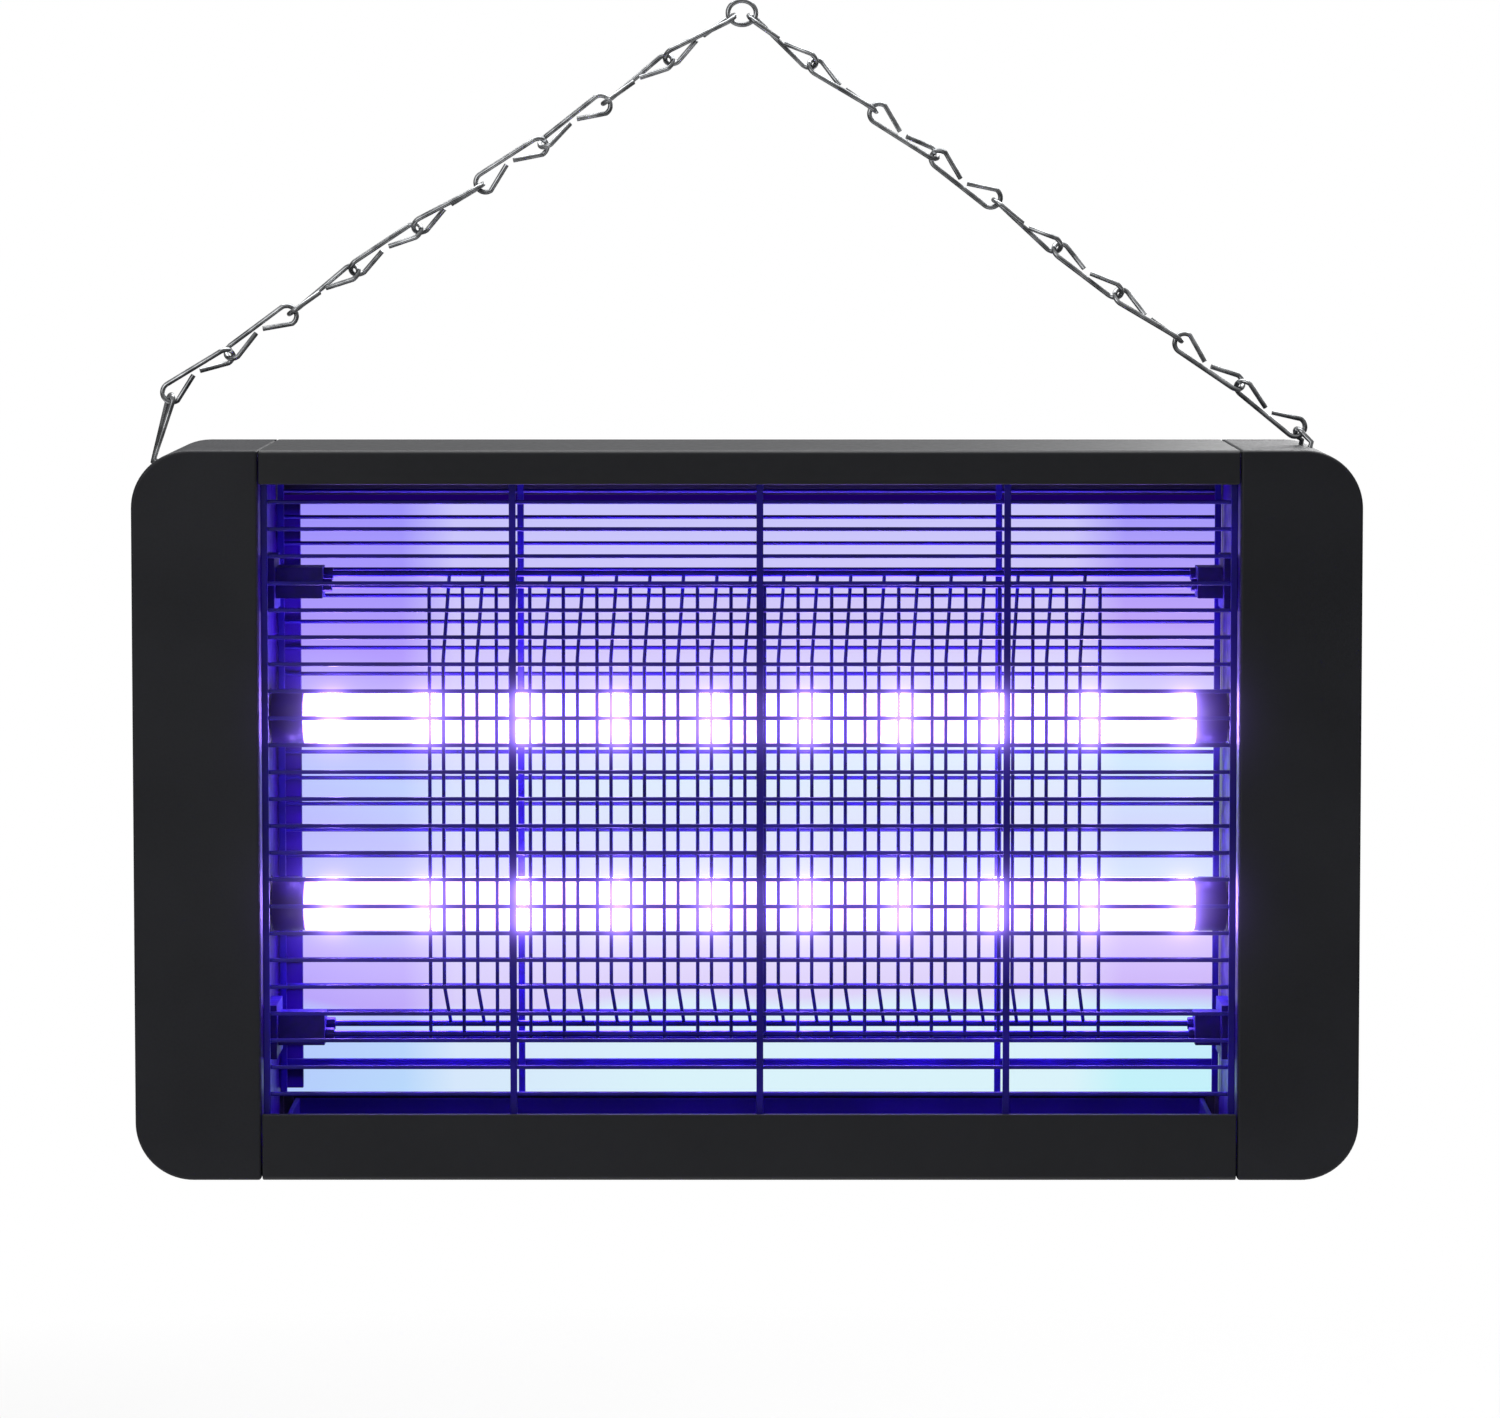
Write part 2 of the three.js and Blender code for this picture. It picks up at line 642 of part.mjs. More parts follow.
// The hanger's own directions, and for each leg the point where it meets the shoulder.
function hangerLayout(side) {
  const { x, z, lean, reach } = side < 0 ? HANGERS.left : HANGERS.right;
  const along = vector(Math.cos(lean * DEGREE), 0, Math.sin(lean * DEGREE));
  const across = vector(0, 1, 0).applyAxisAngle(along, HANGER_TWIST * DEGREE);
  const eye = vector(x, HANGER_Y, z);
  const feet = [-1, 1].map((end) => {
    const low = eye.clone().addScaledVector(along, -reach).addScaledVector(across, end * HANGER_FOOT);
    const centre = vector(side * CORNER_X, low.y, CORNER_Z);
    const outward = low.sub(centre).normalize();
    return { end, outward, onShell: centre.addScaledVector(outward, CORNER) };
  });
  return { along, across, eye, feet };
}

function hangerWire(side) {
  const { along, across, eye, feet } = hangerLayout(side);
  const bow = [-90, -54, -18, 18, 54, 90].map((angle) => (
    eye.clone()
      .addScaledVector(along, HANGER_EYE * Math.cos(angle * DEGREE))
      .addScaledVector(across, HANGER_EYE * Math.sin(angle * DEGREE))
  ));
  const [first, second] = feet.map(({ end, outward, onShell }) => {
    const place = (out) => onShell.clone().addScaledVector(outward, out);
    const tip = place(-HANGER_DEPTH - 0.6);
    tip.y -= end * HANGER_HOOK;
    return [tip, place(-HANGER_DEPTH), place(HANGER_WIRE)];
  });
  return wire([...first, ...bow, ...second.reverse()], HANGER_WIRE);
}

function hangerHoles(side) {
  return hangerLayout(side).feet.map(({ outward, onShell }) => {
    const hole = new THREE.CylinderGeometry(HANGER_HOLE, HANGER_HOLE, 10, 8);
    const turn = new THREE.Quaternion().setFromUnitVectors(vector(0, 1, 0), outward);
    return solid(hole.applyQuaternion(turn).translate(onShell.x, onShell.y, onShell.z));
  });
}

// ---- Chain: nine links a side between the ring and the hangers ----

// One link: a wire whose two ends nearly meet beside its long straight side. Its two bows are turned
// about its length by startTurn and endTurn. x runs along the link, from bow to bow.
function linkWire(startTurn, endTurn) {
  const twist = (endTurn - startTurn) * DEGREE;
  const pinch = -BOW * Math.cos(twist / 2) + CHAIN_WIRE + 0.4;
  const corner = (x, across, turn) => vector(
    x,
    across * Math.sin(turn * DEGREE),
    across * Math.cos(turn * DEGREE),
  );
  const middle = (startTurn + endTurn) / 2;
  const bowAt = LINK_LENGTH / 2 - BOW;
  const bow = [90, 60, 30, 0, -30, -60, -90];
  const first = bow.map((angle) => corner(
    -bowAt - BOW * Math.cos(angle * DEGREE), BOW * Math.sin(angle * DEGREE), startTurn,
  ));
  const second = bow.toReversed().map((angle) => corner(
    bowAt + BOW * Math.cos(angle * DEGREE), BOW * Math.sin(angle * DEGREE), endTurn,
  ));
  const ends = [-LINK_END_GAP, LINK_END_GAP].map((x) => corner(x, pinch, middle));
  return wire([ends[0], ...first, ...second, ends[1]], CHAIN_WIRE);
}

// Where a side's chain starts on the ring and ends in its hanger's eye, seen from the origin.
function chainRun(side) {
  const spec = side < 0 ? HANGERS.left : HANGERS.right;
  const ringCentre = vector(0, 0, CHAIN_WIRE / 2 - RING_HALF_HEIGHT);
  const eye = vector(spec.x + HOUSING_X, 0, spec.z - APEX_HEIGHT);
  const lastBow = eye.addScaledVector(
    vector(Math.cos(spec.lean * DEGREE), 0, Math.sin(spec.lean * DEGREE)),
    BOW,
  );
  const pull = lastBow.clone().sub(ringCentre).normalize();
  const onRing = vector(pull.x * RING_HALF_WIDTH ** 2, 0, pull.z * RING_HALF_HEIGHT ** 2);
  onRing.divideScalar(Math.hypot(pull.x * RING_HALF_WIDTH, pull.z * RING_HALF_HEIGHT));
  const start = ringCentre.clone().add(onRing).addScaledVector(pull, -(CHAIN_WIRE + GAP));
  const along = lastBow.clone().sub(start).normalize();
  return { start, along, length: lastBow.distanceTo(start) + BOW };
}

function chainSide(sideName) {
  const side = sideName === 'left' ? -1 : 1;
  const { start, along, length } = chainRun(side);
  const pitch = (length - LINK_LENGTH) / (LINKS_A_SIDE - 1);
  const lean = Math.atan2(along.z, along.x);
  const links = new THREE.Group();
  let above = FIRST_BOW_TURN - 90;
  for (let index = 0; index < LINKS_A_SIDE; index += 1) {
    const below = LINK_TURNS[index];
    let upper = above + 90;
    while (upper - below > 90) upper -= 180;
    const link = part(`${sideName}_link_${index + 1}`, linkWire(side * upper, side * below), chainSteel());
    link.rotation.y = -lean;
    link.position.copy(start).addScaledVector(along, LINK_LENGTH / 2 + index * pitch);
    links.add(link);
    above = below;
  }
  return links;
}

function apexRing() {
  const ring = new THREE.TorusGeometry(RING_HALF_HEIGHT, CHAIN_WIRE / 2, 6, 20);
  ring.rotateX(Math.PI / 2).scale(RING_HALF_WIDTH / RING_HALF_HEIGHT, 1, 1);
  ring.translate(0, 0, CHAIN_WIRE / 2 - RING_HALF_HEIGHT);
  return solid(ring);
}

// ---- Assembly ----

const housing = new THREE.Group();
housing.position.set(HOUSING_X, -HANGER_Y, -APEX_HEIGHT);

for (const [name, side] of [['left', -1], ['right', 1]]) {
  const upper = LAMP_HEIGHTS.upper;
  const lower = LAMP_HEIGHTS.lower;
  const ends = INSULATOR_ENDS[name];
  housing.add(
    part(`${name}_end_shell`, endShell(side), satinBlack()),
    part(`${name}_rear_cover`, endCover(side, side > 0 ? rightCutouts() : []), satinBlack()),
    part(`${name}_cover_screw`, coverScrew(side), chainSteel()),
    part(`${name}_bulkhead`, bulkhead(side), indigoSteel()),
    part(`upper_${name}_insulator`, insulator(side, 'upper', ...ends), greyPlastic()),
    part(`lower_${name}_insulator`, insulator(side, 'lower', ...ends), greyPlastic()),
    part(`upper_${name}_lamp_holder`, lampHolder(side, upper), whitePlastic()),
    part(`lower_${name}_lamp_holder`, lampHolder(side, lower), whitePlastic()),
    part(`upper_${name}_lamp_cap`, lampCap(side, upper), satinBlack()),
    part(`lower_${name}_lamp_cap`, lampCap(side, lower), satinBlack()),
    part(`${name}_hanger`, hangerWire(side), chainSteel()),
  );
}

for (const [name, z] of Object.entries(LAMP_HEIGHTS)) {
  housing.add(
    part(`${name}_lamp_tube`, lampTube(z), lampDiffuser()),
    part(`${name}_led_strip`, ledStrip(z), whitePlastic()),
  );
}

housing.add(
  part('top_channel', topChannel(), paintedSteel()),
  part('bottom_channel', bottomChannel(), paintedSteel()),
  part('front_grille', grille(-GRILLE_Y, false), indigoSteel()),
  part('rear_grille', grille(GRILLE_Y - 2, true), indigoSteel()),
  part('live_grid_comb', liveComb(), gridSteel()),
  part('return_grid_comb', returnComb(), gridSteel()),
  part('high_voltage_board', highVoltageBoard(), greyPlastic()),
  part('lamp_driver_board', driverBoard(), greyPlastic()),
  part('live_grid_lead', liveLead(), satinBlack()),
  part('return_grid_lead', returnLead(), satinBlack()),
  part('lamp_lead', lampLead(), whitePlastic()),
  part('power_inlet', powerInlet(), satinBlack()),
  part('switch_body', switchBody(), satinBlack()),
  part('switch_rocker', switchRocker(), satinBlack()),
  part('collection_tray', collectionTray(), satinBlack()),
);

const zapper = new THREE.Group();
zapper.add(part('apex_ring', apexRing(), chainSteel()), chainSide('left'), chainSide('right'), housing);

export default zapper;
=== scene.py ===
# Hanging electric bug zapper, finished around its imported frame: two moulded ends, bent sheet
# channels, wire grilles, a two-comb high-voltage grid, two LED tubes and a wire chain.

import json
import math

import bmesh
import bpy
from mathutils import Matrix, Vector

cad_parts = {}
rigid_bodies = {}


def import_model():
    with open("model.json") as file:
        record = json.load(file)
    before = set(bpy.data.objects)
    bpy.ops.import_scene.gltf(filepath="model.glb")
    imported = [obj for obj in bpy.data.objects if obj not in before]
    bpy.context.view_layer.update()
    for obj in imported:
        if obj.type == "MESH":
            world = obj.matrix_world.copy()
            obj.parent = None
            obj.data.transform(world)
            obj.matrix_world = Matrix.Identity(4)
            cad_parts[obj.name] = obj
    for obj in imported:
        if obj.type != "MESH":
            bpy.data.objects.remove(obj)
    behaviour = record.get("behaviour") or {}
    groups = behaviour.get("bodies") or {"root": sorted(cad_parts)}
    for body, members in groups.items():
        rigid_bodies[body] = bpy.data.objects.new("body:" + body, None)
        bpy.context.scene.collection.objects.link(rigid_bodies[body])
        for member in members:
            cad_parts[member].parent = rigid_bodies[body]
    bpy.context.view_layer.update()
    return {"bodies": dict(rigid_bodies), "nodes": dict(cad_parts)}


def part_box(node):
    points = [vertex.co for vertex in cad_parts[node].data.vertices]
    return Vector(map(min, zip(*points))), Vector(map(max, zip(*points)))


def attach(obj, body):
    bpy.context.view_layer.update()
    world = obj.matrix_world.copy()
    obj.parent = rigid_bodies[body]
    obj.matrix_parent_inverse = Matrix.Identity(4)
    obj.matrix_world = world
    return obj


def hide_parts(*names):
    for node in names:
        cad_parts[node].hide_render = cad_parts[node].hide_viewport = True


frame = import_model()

# ---- View ----
# The camera looks level on to the grille from a little above it, from about two metres away.
# Every place on the housing is given in millimetres from the middle of its base.

MM = 0.001
CAMERA_PLACE = (2.3, -1940, 295)
CAMERA_TARGET = (0.9, -40, 139.3)
CAMERA_LENS = 156.3
housing_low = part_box("left_end_shell")[0]
housing_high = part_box("right_rear_cover")[1]
base_middle = (housing_low + housing_high) / 2
base_middle.z = housing_low.z


def at(x, y, z):
    """A place on the housing, in metres, from its millimetres."""
    return base_middle + MM * Vector((x, y, z))


camera_data = bpy.data.cameras.new("camera")
camera_data.lens = CAMERA_LENS
camera_data.sensor_width = 36
camera = bpy.data.objects.new("camera", camera_data)
camera.location = at(*CAMERA_PLACE)
camera.rotation_mode = "QUATERNION"
camera.rotation_quaternion = (at(*CAMERA_TARGET) - at(*CAMERA_PLACE)).to_track_quat("-Z", "Y")
bpy.context.scene.collection.objects.link(camera)
bpy.context.scene.camera = camera
bpy.context.scene.view_settings.view_transform = "Standard"

# ---- Studio ----
# A pale floor below the hanging object that fades into a white room, with one wide soft light
# overhead, a weaker one in front and a rim light behind.

FLOOR_DROP = 0.3
FLOOR_RADIUS = 1.6
FLOOR_FADE = 0.5
FLOOR_SIDES = 64
ROOM_SEEN = 1.0
ROOM_LOW = 0.16
ROOM_HIGH = 0.75
LIGHT_TARGET = (0, 0, 100)
STUDIO_LIGHTS = {
    "overhead light": ((0, 250, 1100), (1.2, 0.8), 13.0),
    "front light": ((-900, -1500, 700), (1.0, 1.0), 5.0),
    "rear light": ((700, 1500, 700), (1.0, 1.0), 9.0),
}


def linear(hex_colour):
    """An sRGB hex colour as a linear one."""
    channels = [int(hex_colour[i : i + 2], 16) / 255 for i in (0, 2, 4)]
    turned = [c / 12.92 if c <= 0.04045 else ((c + 0.055) / 1.055) ** 2.4 for c in channels]
    return (*turned, 1.0)


def add(tree, kind, inputs=None, **settings):
    """Adds a node, sets its properties, and links or fills its inputs."""
    node = tree.nodes.new(kind)
    for name, value in settings.items():
        setattr(node, name, value)
    for name, value in (inputs or {}).items():
        if isinstance(value, bpy.types.NodeSocket):
            tree.links.new(value, node.inputs[name])
        else:
            node.inputs[name].default_value = value
    return node


def limits(start, end, low=0.0, high=1.0):
    """What a value from start to end is turned to."""
    return {"From Min": start, "From Max": end, "To Min": low, "To Max": high}


def drift(tree, place, size_mm, low=0.0, high=1.0, spread=0.2, **grain):
    """A value that drifts between low and high over patches about size_mm across."""
    settings = {"Vector": place, "Scale": 1 / (size_mm * MM), **grain}
    patches = add(tree, "ShaderNodeTexNoise", settings).outputs["Fac"]
    turned = {"Value": patches, **limits(0.5 - spread, 0.5 + spread, low, high)}
    return add(tree, "ShaderNodeMapRange", turned).outputs[0]


def tinted(tree, place, shades, patch_mm, detail=2, spread=0.2):
    """A colour that drifts between two sRGB shades over patches about patch_mm across."""
    low, high = (linear(shade) for shade in shades)
    fade = drift(tree, place, patch_mm, spread=spread, Detail=detail)
    return add(tree, "ShaderNodeMixRGB", {"Fac": fade, "Color1": low, "Color2": high}).outputs[0]


def surface(name, shades, *patches, shine=(), relief=(), grain=None, same=None):
    """A material whose colour drifts between two shades over patches, as tinted takes them.

    shine is (size in mm, lowest roughness, highest roughness), and relief is (size in mm, depth in
    mm, strength). grain holds settings of their noise, and same the sockets that don't vary.
    """
    material = bpy.data.materials.new(name)
    material.use_nodes = True
    tree = material.node_tree
    shader = tree.nodes["Principled BSDF"]
    place = add(tree, "ShaderNodeTexCoord", name="place").outputs["Object"]
    tree.links.new(tinted(tree, place, shades, *patches), shader.inputs["Base Color"])
    grain = grain or {}
    if shine:
        tree.links.new(drift(tree, place, *shine, **grain), shader.inputs["Roughness"])
    if relief:
        size, depth, strength = relief
        height = drift(tree, place, size, spread=0.5, **grain)
        lumps = {"Height": height, "Distance": depth * MM, "Strength": strength}
        normal = add(tree, "ShaderNodeBump", lumps).outputs["Normal"]
        tree.links.new(normal, shader.inputs["Normal"])
    for socket, value in (same or {}).items():
        shader.inputs[socket].default_value = value
    return material


def opened(material):
    """A material's tree, its shader, and the object's own coordinates in it."""
    nodes = material.node_tree.nodes
    return material.node_tree, nodes["Principled BSDF"], nodes["place"].outputs["Object"]


def soft_light(name, place, target, size, power, colour="ffffff", body=None):
    """A rectangular light, which may ride on a body unseen."""
    data = bpy.data.lights.new(name, "AREA")
    data.color = linear(colour)[:3]
    data.shape = "RECTANGLE"
    data.size, data.size_y = size
    data.energy = power
    light = bpy.data.objects.new(name, data)
    light.location = place
    light.rotation_mode = "QUATERNION"
    light.rotation_quaternion = (target - place).to_track_quat("-Z", "Y")
    bpy.context.scene.collection.objects.link(light)
    if body:
        light.visible_camera = False
        light.parent = frame["bodies"][body]
        light.matrix_parent_inverse = light.parent.matrix_world.inverted()


def finished(name, mesh, body, material, slot=None, replaces=()):
    """Makes a mesh a piece that rides on a body, and stands for CAD nodes."""
    piece = bpy.data.objects.new(name, mesh)
    bpy.context.scene.collection.objects.link(piece)
    mesh.materials.clear()
    mesh.materials.append(material)
    if body:
        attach(piece, body)
    if replaces:
        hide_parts(*replaces)
    return piece


def mesh_of(name, vertices, faces, edges=()):
    """A mesh from its corners, its faces and its loose edges."""
    mesh = bpy.data.meshes.new(name)
    mesh.from_pydata([tuple(v) for v in vertices], list(edges), [tuple(f) for f in faces])
    mesh.validate()
    mesh.update()
    return mesh


world = bpy.data.worlds.new("white room")
world.use_nodes = True
bpy.context.scene.world = world
room = world.node_tree
room.nodes.clear()
sky = add(room, "ShaderNodeTexCoord").outputs["Generated"]
up = add(room, "ShaderNodeSeparateXYZ", {0: sky}).outputs["Z"]
glow = add(room, "ShaderNodeMapRange", {"Value": up, **limits(-0.1, 1.0, ROOM_LOW, ROOM_HIGH)})
lit = add(room, "ShaderNodeBackground", {"Strength": glow.outputs[0]})
seen = add(room, "ShaderNodeBackground", {"Color": (1, 1, 1, 1), "Strength": ROOM_SEEN})
camera_ray = add(room, "ShaderNodeLightPath").outputs["Is Camera Ray"]
both = add(room, "ShaderNodeMixShader", {0: camera_ray, 1: lit.outputs[0], 2: seen.outputs[0]})
add(room, "ShaderNodeOutputWorld", {"Surface": both.outputs[0]})

# The lamps are far brighter than the rest, so the lens blooms a little round them.
bpy.context.scene.use_nodes = True
lens = bpy.context.scene.node_tree
lens.nodes.clear()
layers = add(lens, "CompositorNodeRLayers").outputs["Image"]
haze = {"Image": layers, "Threshold": 1.6, "Strength": 0.26, "Size": 0.2}
bloom = add(lens, "CompositorNodeGlare", haze, glare_type="FOG_GLOW", quality="HIGH")
add(lens, "CompositorNodeComposite", {"Image": bloom.outputs["Image"]})

for name, (place, size, power) in STUDIO_LIGHTS.items():
    soft_light(name, at(*place), at(*LIGHT_TARGET), size, power)

# Floor paint: matt, and fading out towards its rim.
floor_paint = surface("pale matt floor paint", ("f2f2f1", "f6f6f6"), 180, same={"Roughness": 0.9})
tree, shader, place = opened(floor_paint)
radius = add(tree, "ShaderNodeVectorMath", {0: place}, operation="LENGTH").outputs["Value"]
fading = {"Value": radius, **limits(FLOOR_FADE, FLOOR_RADIUS, 1.0, 0.0)}
tree.links.new(add(tree, "ShaderNodeMapRange", fading).outputs[0], shader.inputs["Alpha"])
floor_z = base_middle.z - FLOOR_DROP
turns = [2 * math.pi * i / FLOOR_SIDES for i in range(FLOOR_SIDES)]
rim = [(FLOOR_RADIUS * math.cos(a), FLOOR_RADIUS * math.sin(a), floor_z) for a in turns]
floor = finished("floor", mesh_of("floor", rim, [range(FLOOR_SIDES)]), None, floor_paint)

# ---- Ends ----
# Each end is an injection moulding in black ABS: a flat front, a wall round three sides, and a soft
# edge. It is open behind, where its cover screws on, and has no wall on the chamber's side.

END_RADIUS = 17
END_WALL = 2.4
CORNER_STEPS = 20
HOUSING_HEIGHT = 215
HOUSING_WIDTH = 360
HOUSING_FRONT = -40
SHELL_DEPTH = 76
SIDES = {"left": -1, "right": 1}
BLACK_SLOT = "moulded_black_plastic"

# Moulded ABS: near black, with a fine spark-eroded grain that breaks up its satin shine.
moulded_abs = surface(
    "moulded black ABS", ("1c1d22", "232429"), 45, 3, 0.15,
    shine=(0.9, 0.4, 0.56), relief=(0.9, 0.05, 0.5), grain={"Roughness": 0.6},
    same={"IOR": 1.5, "Specular IOR Level": 0.35},
)


def end_path(side, inset):
    """The outline of an end from its lower inner corner, round its outer side, to its upper one."""
    low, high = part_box("left_end_shell" if side < 0 else "right_end_shell")
    edge = ((high.x if side < 0 else low.x) - base_middle.x) / MM
    turn_x = side * (HOUSING_WIDTH / 2 - END_RADIUS)
    radius = END_RADIUS - inset
    path = [(edge, inset)]
    for turn_z, start in ((END_RADIUS, -90), (HOUSING_HEIGHT - END_RADIUS, 0)):
        for step in range(CORNER_STEPS + 1):
            angle = math.radians(start + 90 * step / CORNER_STEPS)
            corner = turn_x + side * radius * math.cos(angle), turn_z + radius * math.sin(angle)
            path.append(corner)
    path.append((edge, HOUSING_HEIGHT - inset))
    return path


def outward(mesh):
    """Merges what touches, and turns every face of a closed mesh outwards."""
    shape = bmesh.new()
    shape.from_mesh(mesh)
    bmesh.ops.remove_doubles(shape, verts=shape.verts, dist=1e-6)
    bmesh.ops.recalc_face_normals(shape, faces=shape.faces)
    for face in shape.faces:
        face.smooth = True
    shape.to_mesh(mesh)
    shape.free()
    return mesh


def end_moulding(name, side):
    """An end's closed mesh: a flat front, a wall round three sides, and an open back."""
    outer, inner = end_path(side, 0), end_path(side, END_WALL)
    front, back = HOUSING_FRONT, HOUSING_FRONT + SHELL_DEPTH
    rings = [(outer, front), (outer, back), (inner, back), (inner, front + END_WALL)]
    vertices = [at(x, y, z) for path, y in rings for x, z in path]
    count = len(outer)
    first = [ring * count for ring in range(4)]
    last = [start + count - 1 for start in first]
    front_face, floor_face = list(range(count)), list(range(3 * count, 4 * count))[::-1]
    faces = [front_face, floor_face, [*first, *last[::-1]]]
    for start in first[:3]:
        for a in range(start, start + count - 1):
            faces.append((a, a + count, a + count + 1, a + 1))
    return outward(mesh_of(name, vertices, faces))


def soften(piece, width_mm, segments=3):
    """Rounds a piece's edges, as moulding, folding or filing does."""
    edge = piece.modifiers.new("soft edges", "BEVEL")
    edge.width = width_mm * MM
    edge.segments = segments
    edge.limit_method = "ANGLE"
    edge.angle_limit = math.radians(30)
    edge.harden_normals = True
    return piece


for side_name, side in SIDES.items():
    mesh = end_moulding(f"{side_name}_end_moulding", side)
    node_name = f"{side_name}_end_shell"
    soften(finished(mesh.name, mesh, "housing", moulded_abs, BLACK_SLOT, [node_name]), 0.9, 4)

# ---- Rear covers ----
# Flat ABS covers close the ends from behind. Each has six vent slots and one screw, and the right
# one carries the inlet and the switch.


def refined(node_name, name, body, material, slot, width_mm=0.35, segments=2):
    """A merged copy of a CAD piece with its edges softened."""
    source = bmesh.new()
    source.from_mesh(frame["nodes"][node_name].data)
    bmesh.ops.remove_doubles(source, verts=source.verts, dist=1e-6)
    flat = math.radians(1)
    bmesh.ops.dissolve_limit(source, angle_limit=flat, verts=source.verts, edges=source.edges)
    for face in source.faces:
        face.smooth = True
    mesh = bpy.data.meshes.new(name)
    source.to_mesh(mesh)
    source.free()
    for attribute in [a for a in mesh.attributes if a.name == "custom_normal"]:
        mesh.attributes.remove(attribute)
    return soften(finished(name, mesh, body, material, slot, [node_name]), width_mm, segments)


for side_name in SIDES:
    cover = f"{side_name}_rear_cover"
    refined(cover, f"{side_name}_rear_panel", "housing", moulded_abs, BLACK_SLOT, 0.5, 3)

# ---- Top and bottom channels ----
# Two channels of 1.6 mm steel sheet, folded in a press and powder coated. They join the ends, and
# their lips hold the grilles.

SHEET_SLOT = "black_painted_steel"

# Powder coat: a little greyer than the ABS, with the orange peel of baked powder.
powder_coat = surface(
    "black powder coat on steel", ("1e1f23", "222327"), 60, 3, 0.15,
    relief=(1.6, 0.06, 0.4), grain={"Detail": 1.5, "Roughness": 0.4},
    same={"Specular IOR Level": 0.4},
)
tree, shader, place = opened(powder_coat)
tree.links.new(drift(tree, place, 2, 0.37, 0.44), shader.inputs["Roughness"])

for level in ("top", "bottom"):
    channel = f"{level}_channel"
    refined(channel, f"{level}_folded_channel", "housing", powder_coat, SHEET_SLOT, 0.4, 3)

# ---- Bulkheads ----
# Painted steel plates that wall off the electrics from the chamber. The lamp holders' collars and
# the insulators' stems pass through them.

INDIGO_SLOT = "indigo_painted_steel"

# Air-dried enamel: a deep violet-indigo with a low shine.
indigo_enamel = surface(
    "indigo enamel on steel", ("1c0448", "2a0868"), 22, 3, 0.15,
    shine=(6, 0.3, 0.45), relief=(1.4, 0.05, 0.4), same={"Specular IOR Level": 0.25},
)

for side_name in SIDES:
    bulkhead = f"{side_name}_bulkhead"
    refined(bulkhead, f"{side_name}_chamber_wall", "housing", indigo_enamel, INDIGO_SLOT)

# ---- Grilles ----
# Each grille is 23 level wires of 1.2 mm, spot welded to five upright strips and dipped in paint.
# The rear one's lowest member is a thicker bar, its sill.

WIRE_COUNT = 23
WIRE_PITCH = 7.94
LOWEST_WIRE = 25.0
GRILLE_WIRE = 1.2
WIRE_INSET = 0.5
STRIP_WIDTH = 2.0
STRIPS = (-68.7, 3.8, 76.3)
GRILLE_WELD = 1.5
WELD_DEPTH = 0.55
SILL_HEIGHT = 2.6

# Dipped paint on wire: the same indigo on both grilles, glossier where it has run. The rear grille's
# copy is darker and the front's more saturated, as painted shading.
GRILLE_PAINT_LIT_AND_SHADED = {"front": ("120470", "200898"), "rear": ("100448", "1a0664")}


def geometry_tree(name, inputs):
    """A Geometry Nodes tree with named inputs, its inputs' sockets, and its output node."""
    made = bpy.data.node_groups.new(name, "GeometryNodeTree")
    sockets = {"Geometry": "Geometry", **inputs}
    for label, kind in sockets.items():
        made.interface.new_socket(label, in_out="INPUT", socket_type=f"NodeSocket{kind}")
    made.interface.new_socket("Geometry", in_out="OUTPUT", socket_type="NodeSocketGeometry")
    return made, made.nodes.new("NodeGroupInput").outputs, made.nodes.new("NodeGroupOutput")


def end_tree(made, output, geometry, material):
    """Ends a tree with real, smooth geometry in one material."""
    real = add(made, "GeometryNodeRealizeInstances", {"Geometry": geometry}).outputs[0]
    smooth = add(made, "GeometryNodeSetShadeSmooth", {"Geometry": real}).outputs[0]
    painted = add(made, "GeometryNodeSetMaterial", {"Geometry": smooth, "Material": material})
    made.links.new(painted.outputs[0], output.inputs[0])


# Round wire drawn along every chain of edges.
wire_inputs = {"Radius": "Float", "Sides": "Int", "Material": "Material"}
wire_tree, given, result = geometry_tree("wire along edges", wire_inputs)
ring = {"Resolution": given["Sides"], "Radius": given["Radius"]}
section = add(wire_tree, "GeometryNodeCurvePrimitiveCircle", ring).outputs[0]
run = add(wire_tree, "GeometryNodeMeshToCurve", {"Mesh": given["Geometry"]}).outputs[0]
sweep = {"Curve": run, "Profile Curve": section, "Fill Caps": True}
swept = add(wire_tree, "GeometryNodeCurveToMesh", sweep)
end_tree(wire_tree, result, swept.outputs[0], given["Material"])

# One shape copied on to every point.
copy_inputs = {"Shape": "Object", "Material": "Material"}
copy_tree, given, result = geometry_tree("copies on points", copy_inputs)
shape = add(copy_tree, "GeometryNodeObjectInfo", {"Object": given["Shape"]}).outputs["Geometry"]
spots = {"Points": given["Geometry"], "Instance": shape}
copies = add(copy_tree, "GeometryNodeInstanceOnPoints", spots)
end_tree(copy_tree, result, copies.outputs[0], given["Material"])


def grown(name, mesh, tree, **values):
    """The plain mesh that a Geometry Nodes tree makes of a mesh."""
    seed = bpy.data.objects.new(name, mesh)
    bpy.context.scene.collection.objects.link(seed)
    modifier = seed.modifiers.new("nodes", "NODES")
    modifier.node_group = tree
    for item in tree.interface.items_tree:
        if item.in_out == "INPUT" and item.name in values:
            modifier[item.identifier] = values[item.name]
    bpy.context.view_layer.update()
    graph = bpy.context.evaluated_depsgraph_get()
    made = bpy.data.meshes.new_from_object(seed.evaluated_get(graph), depsgraph=graph)
    bpy.data.objects.remove(seed)
    made.name = name
    return made


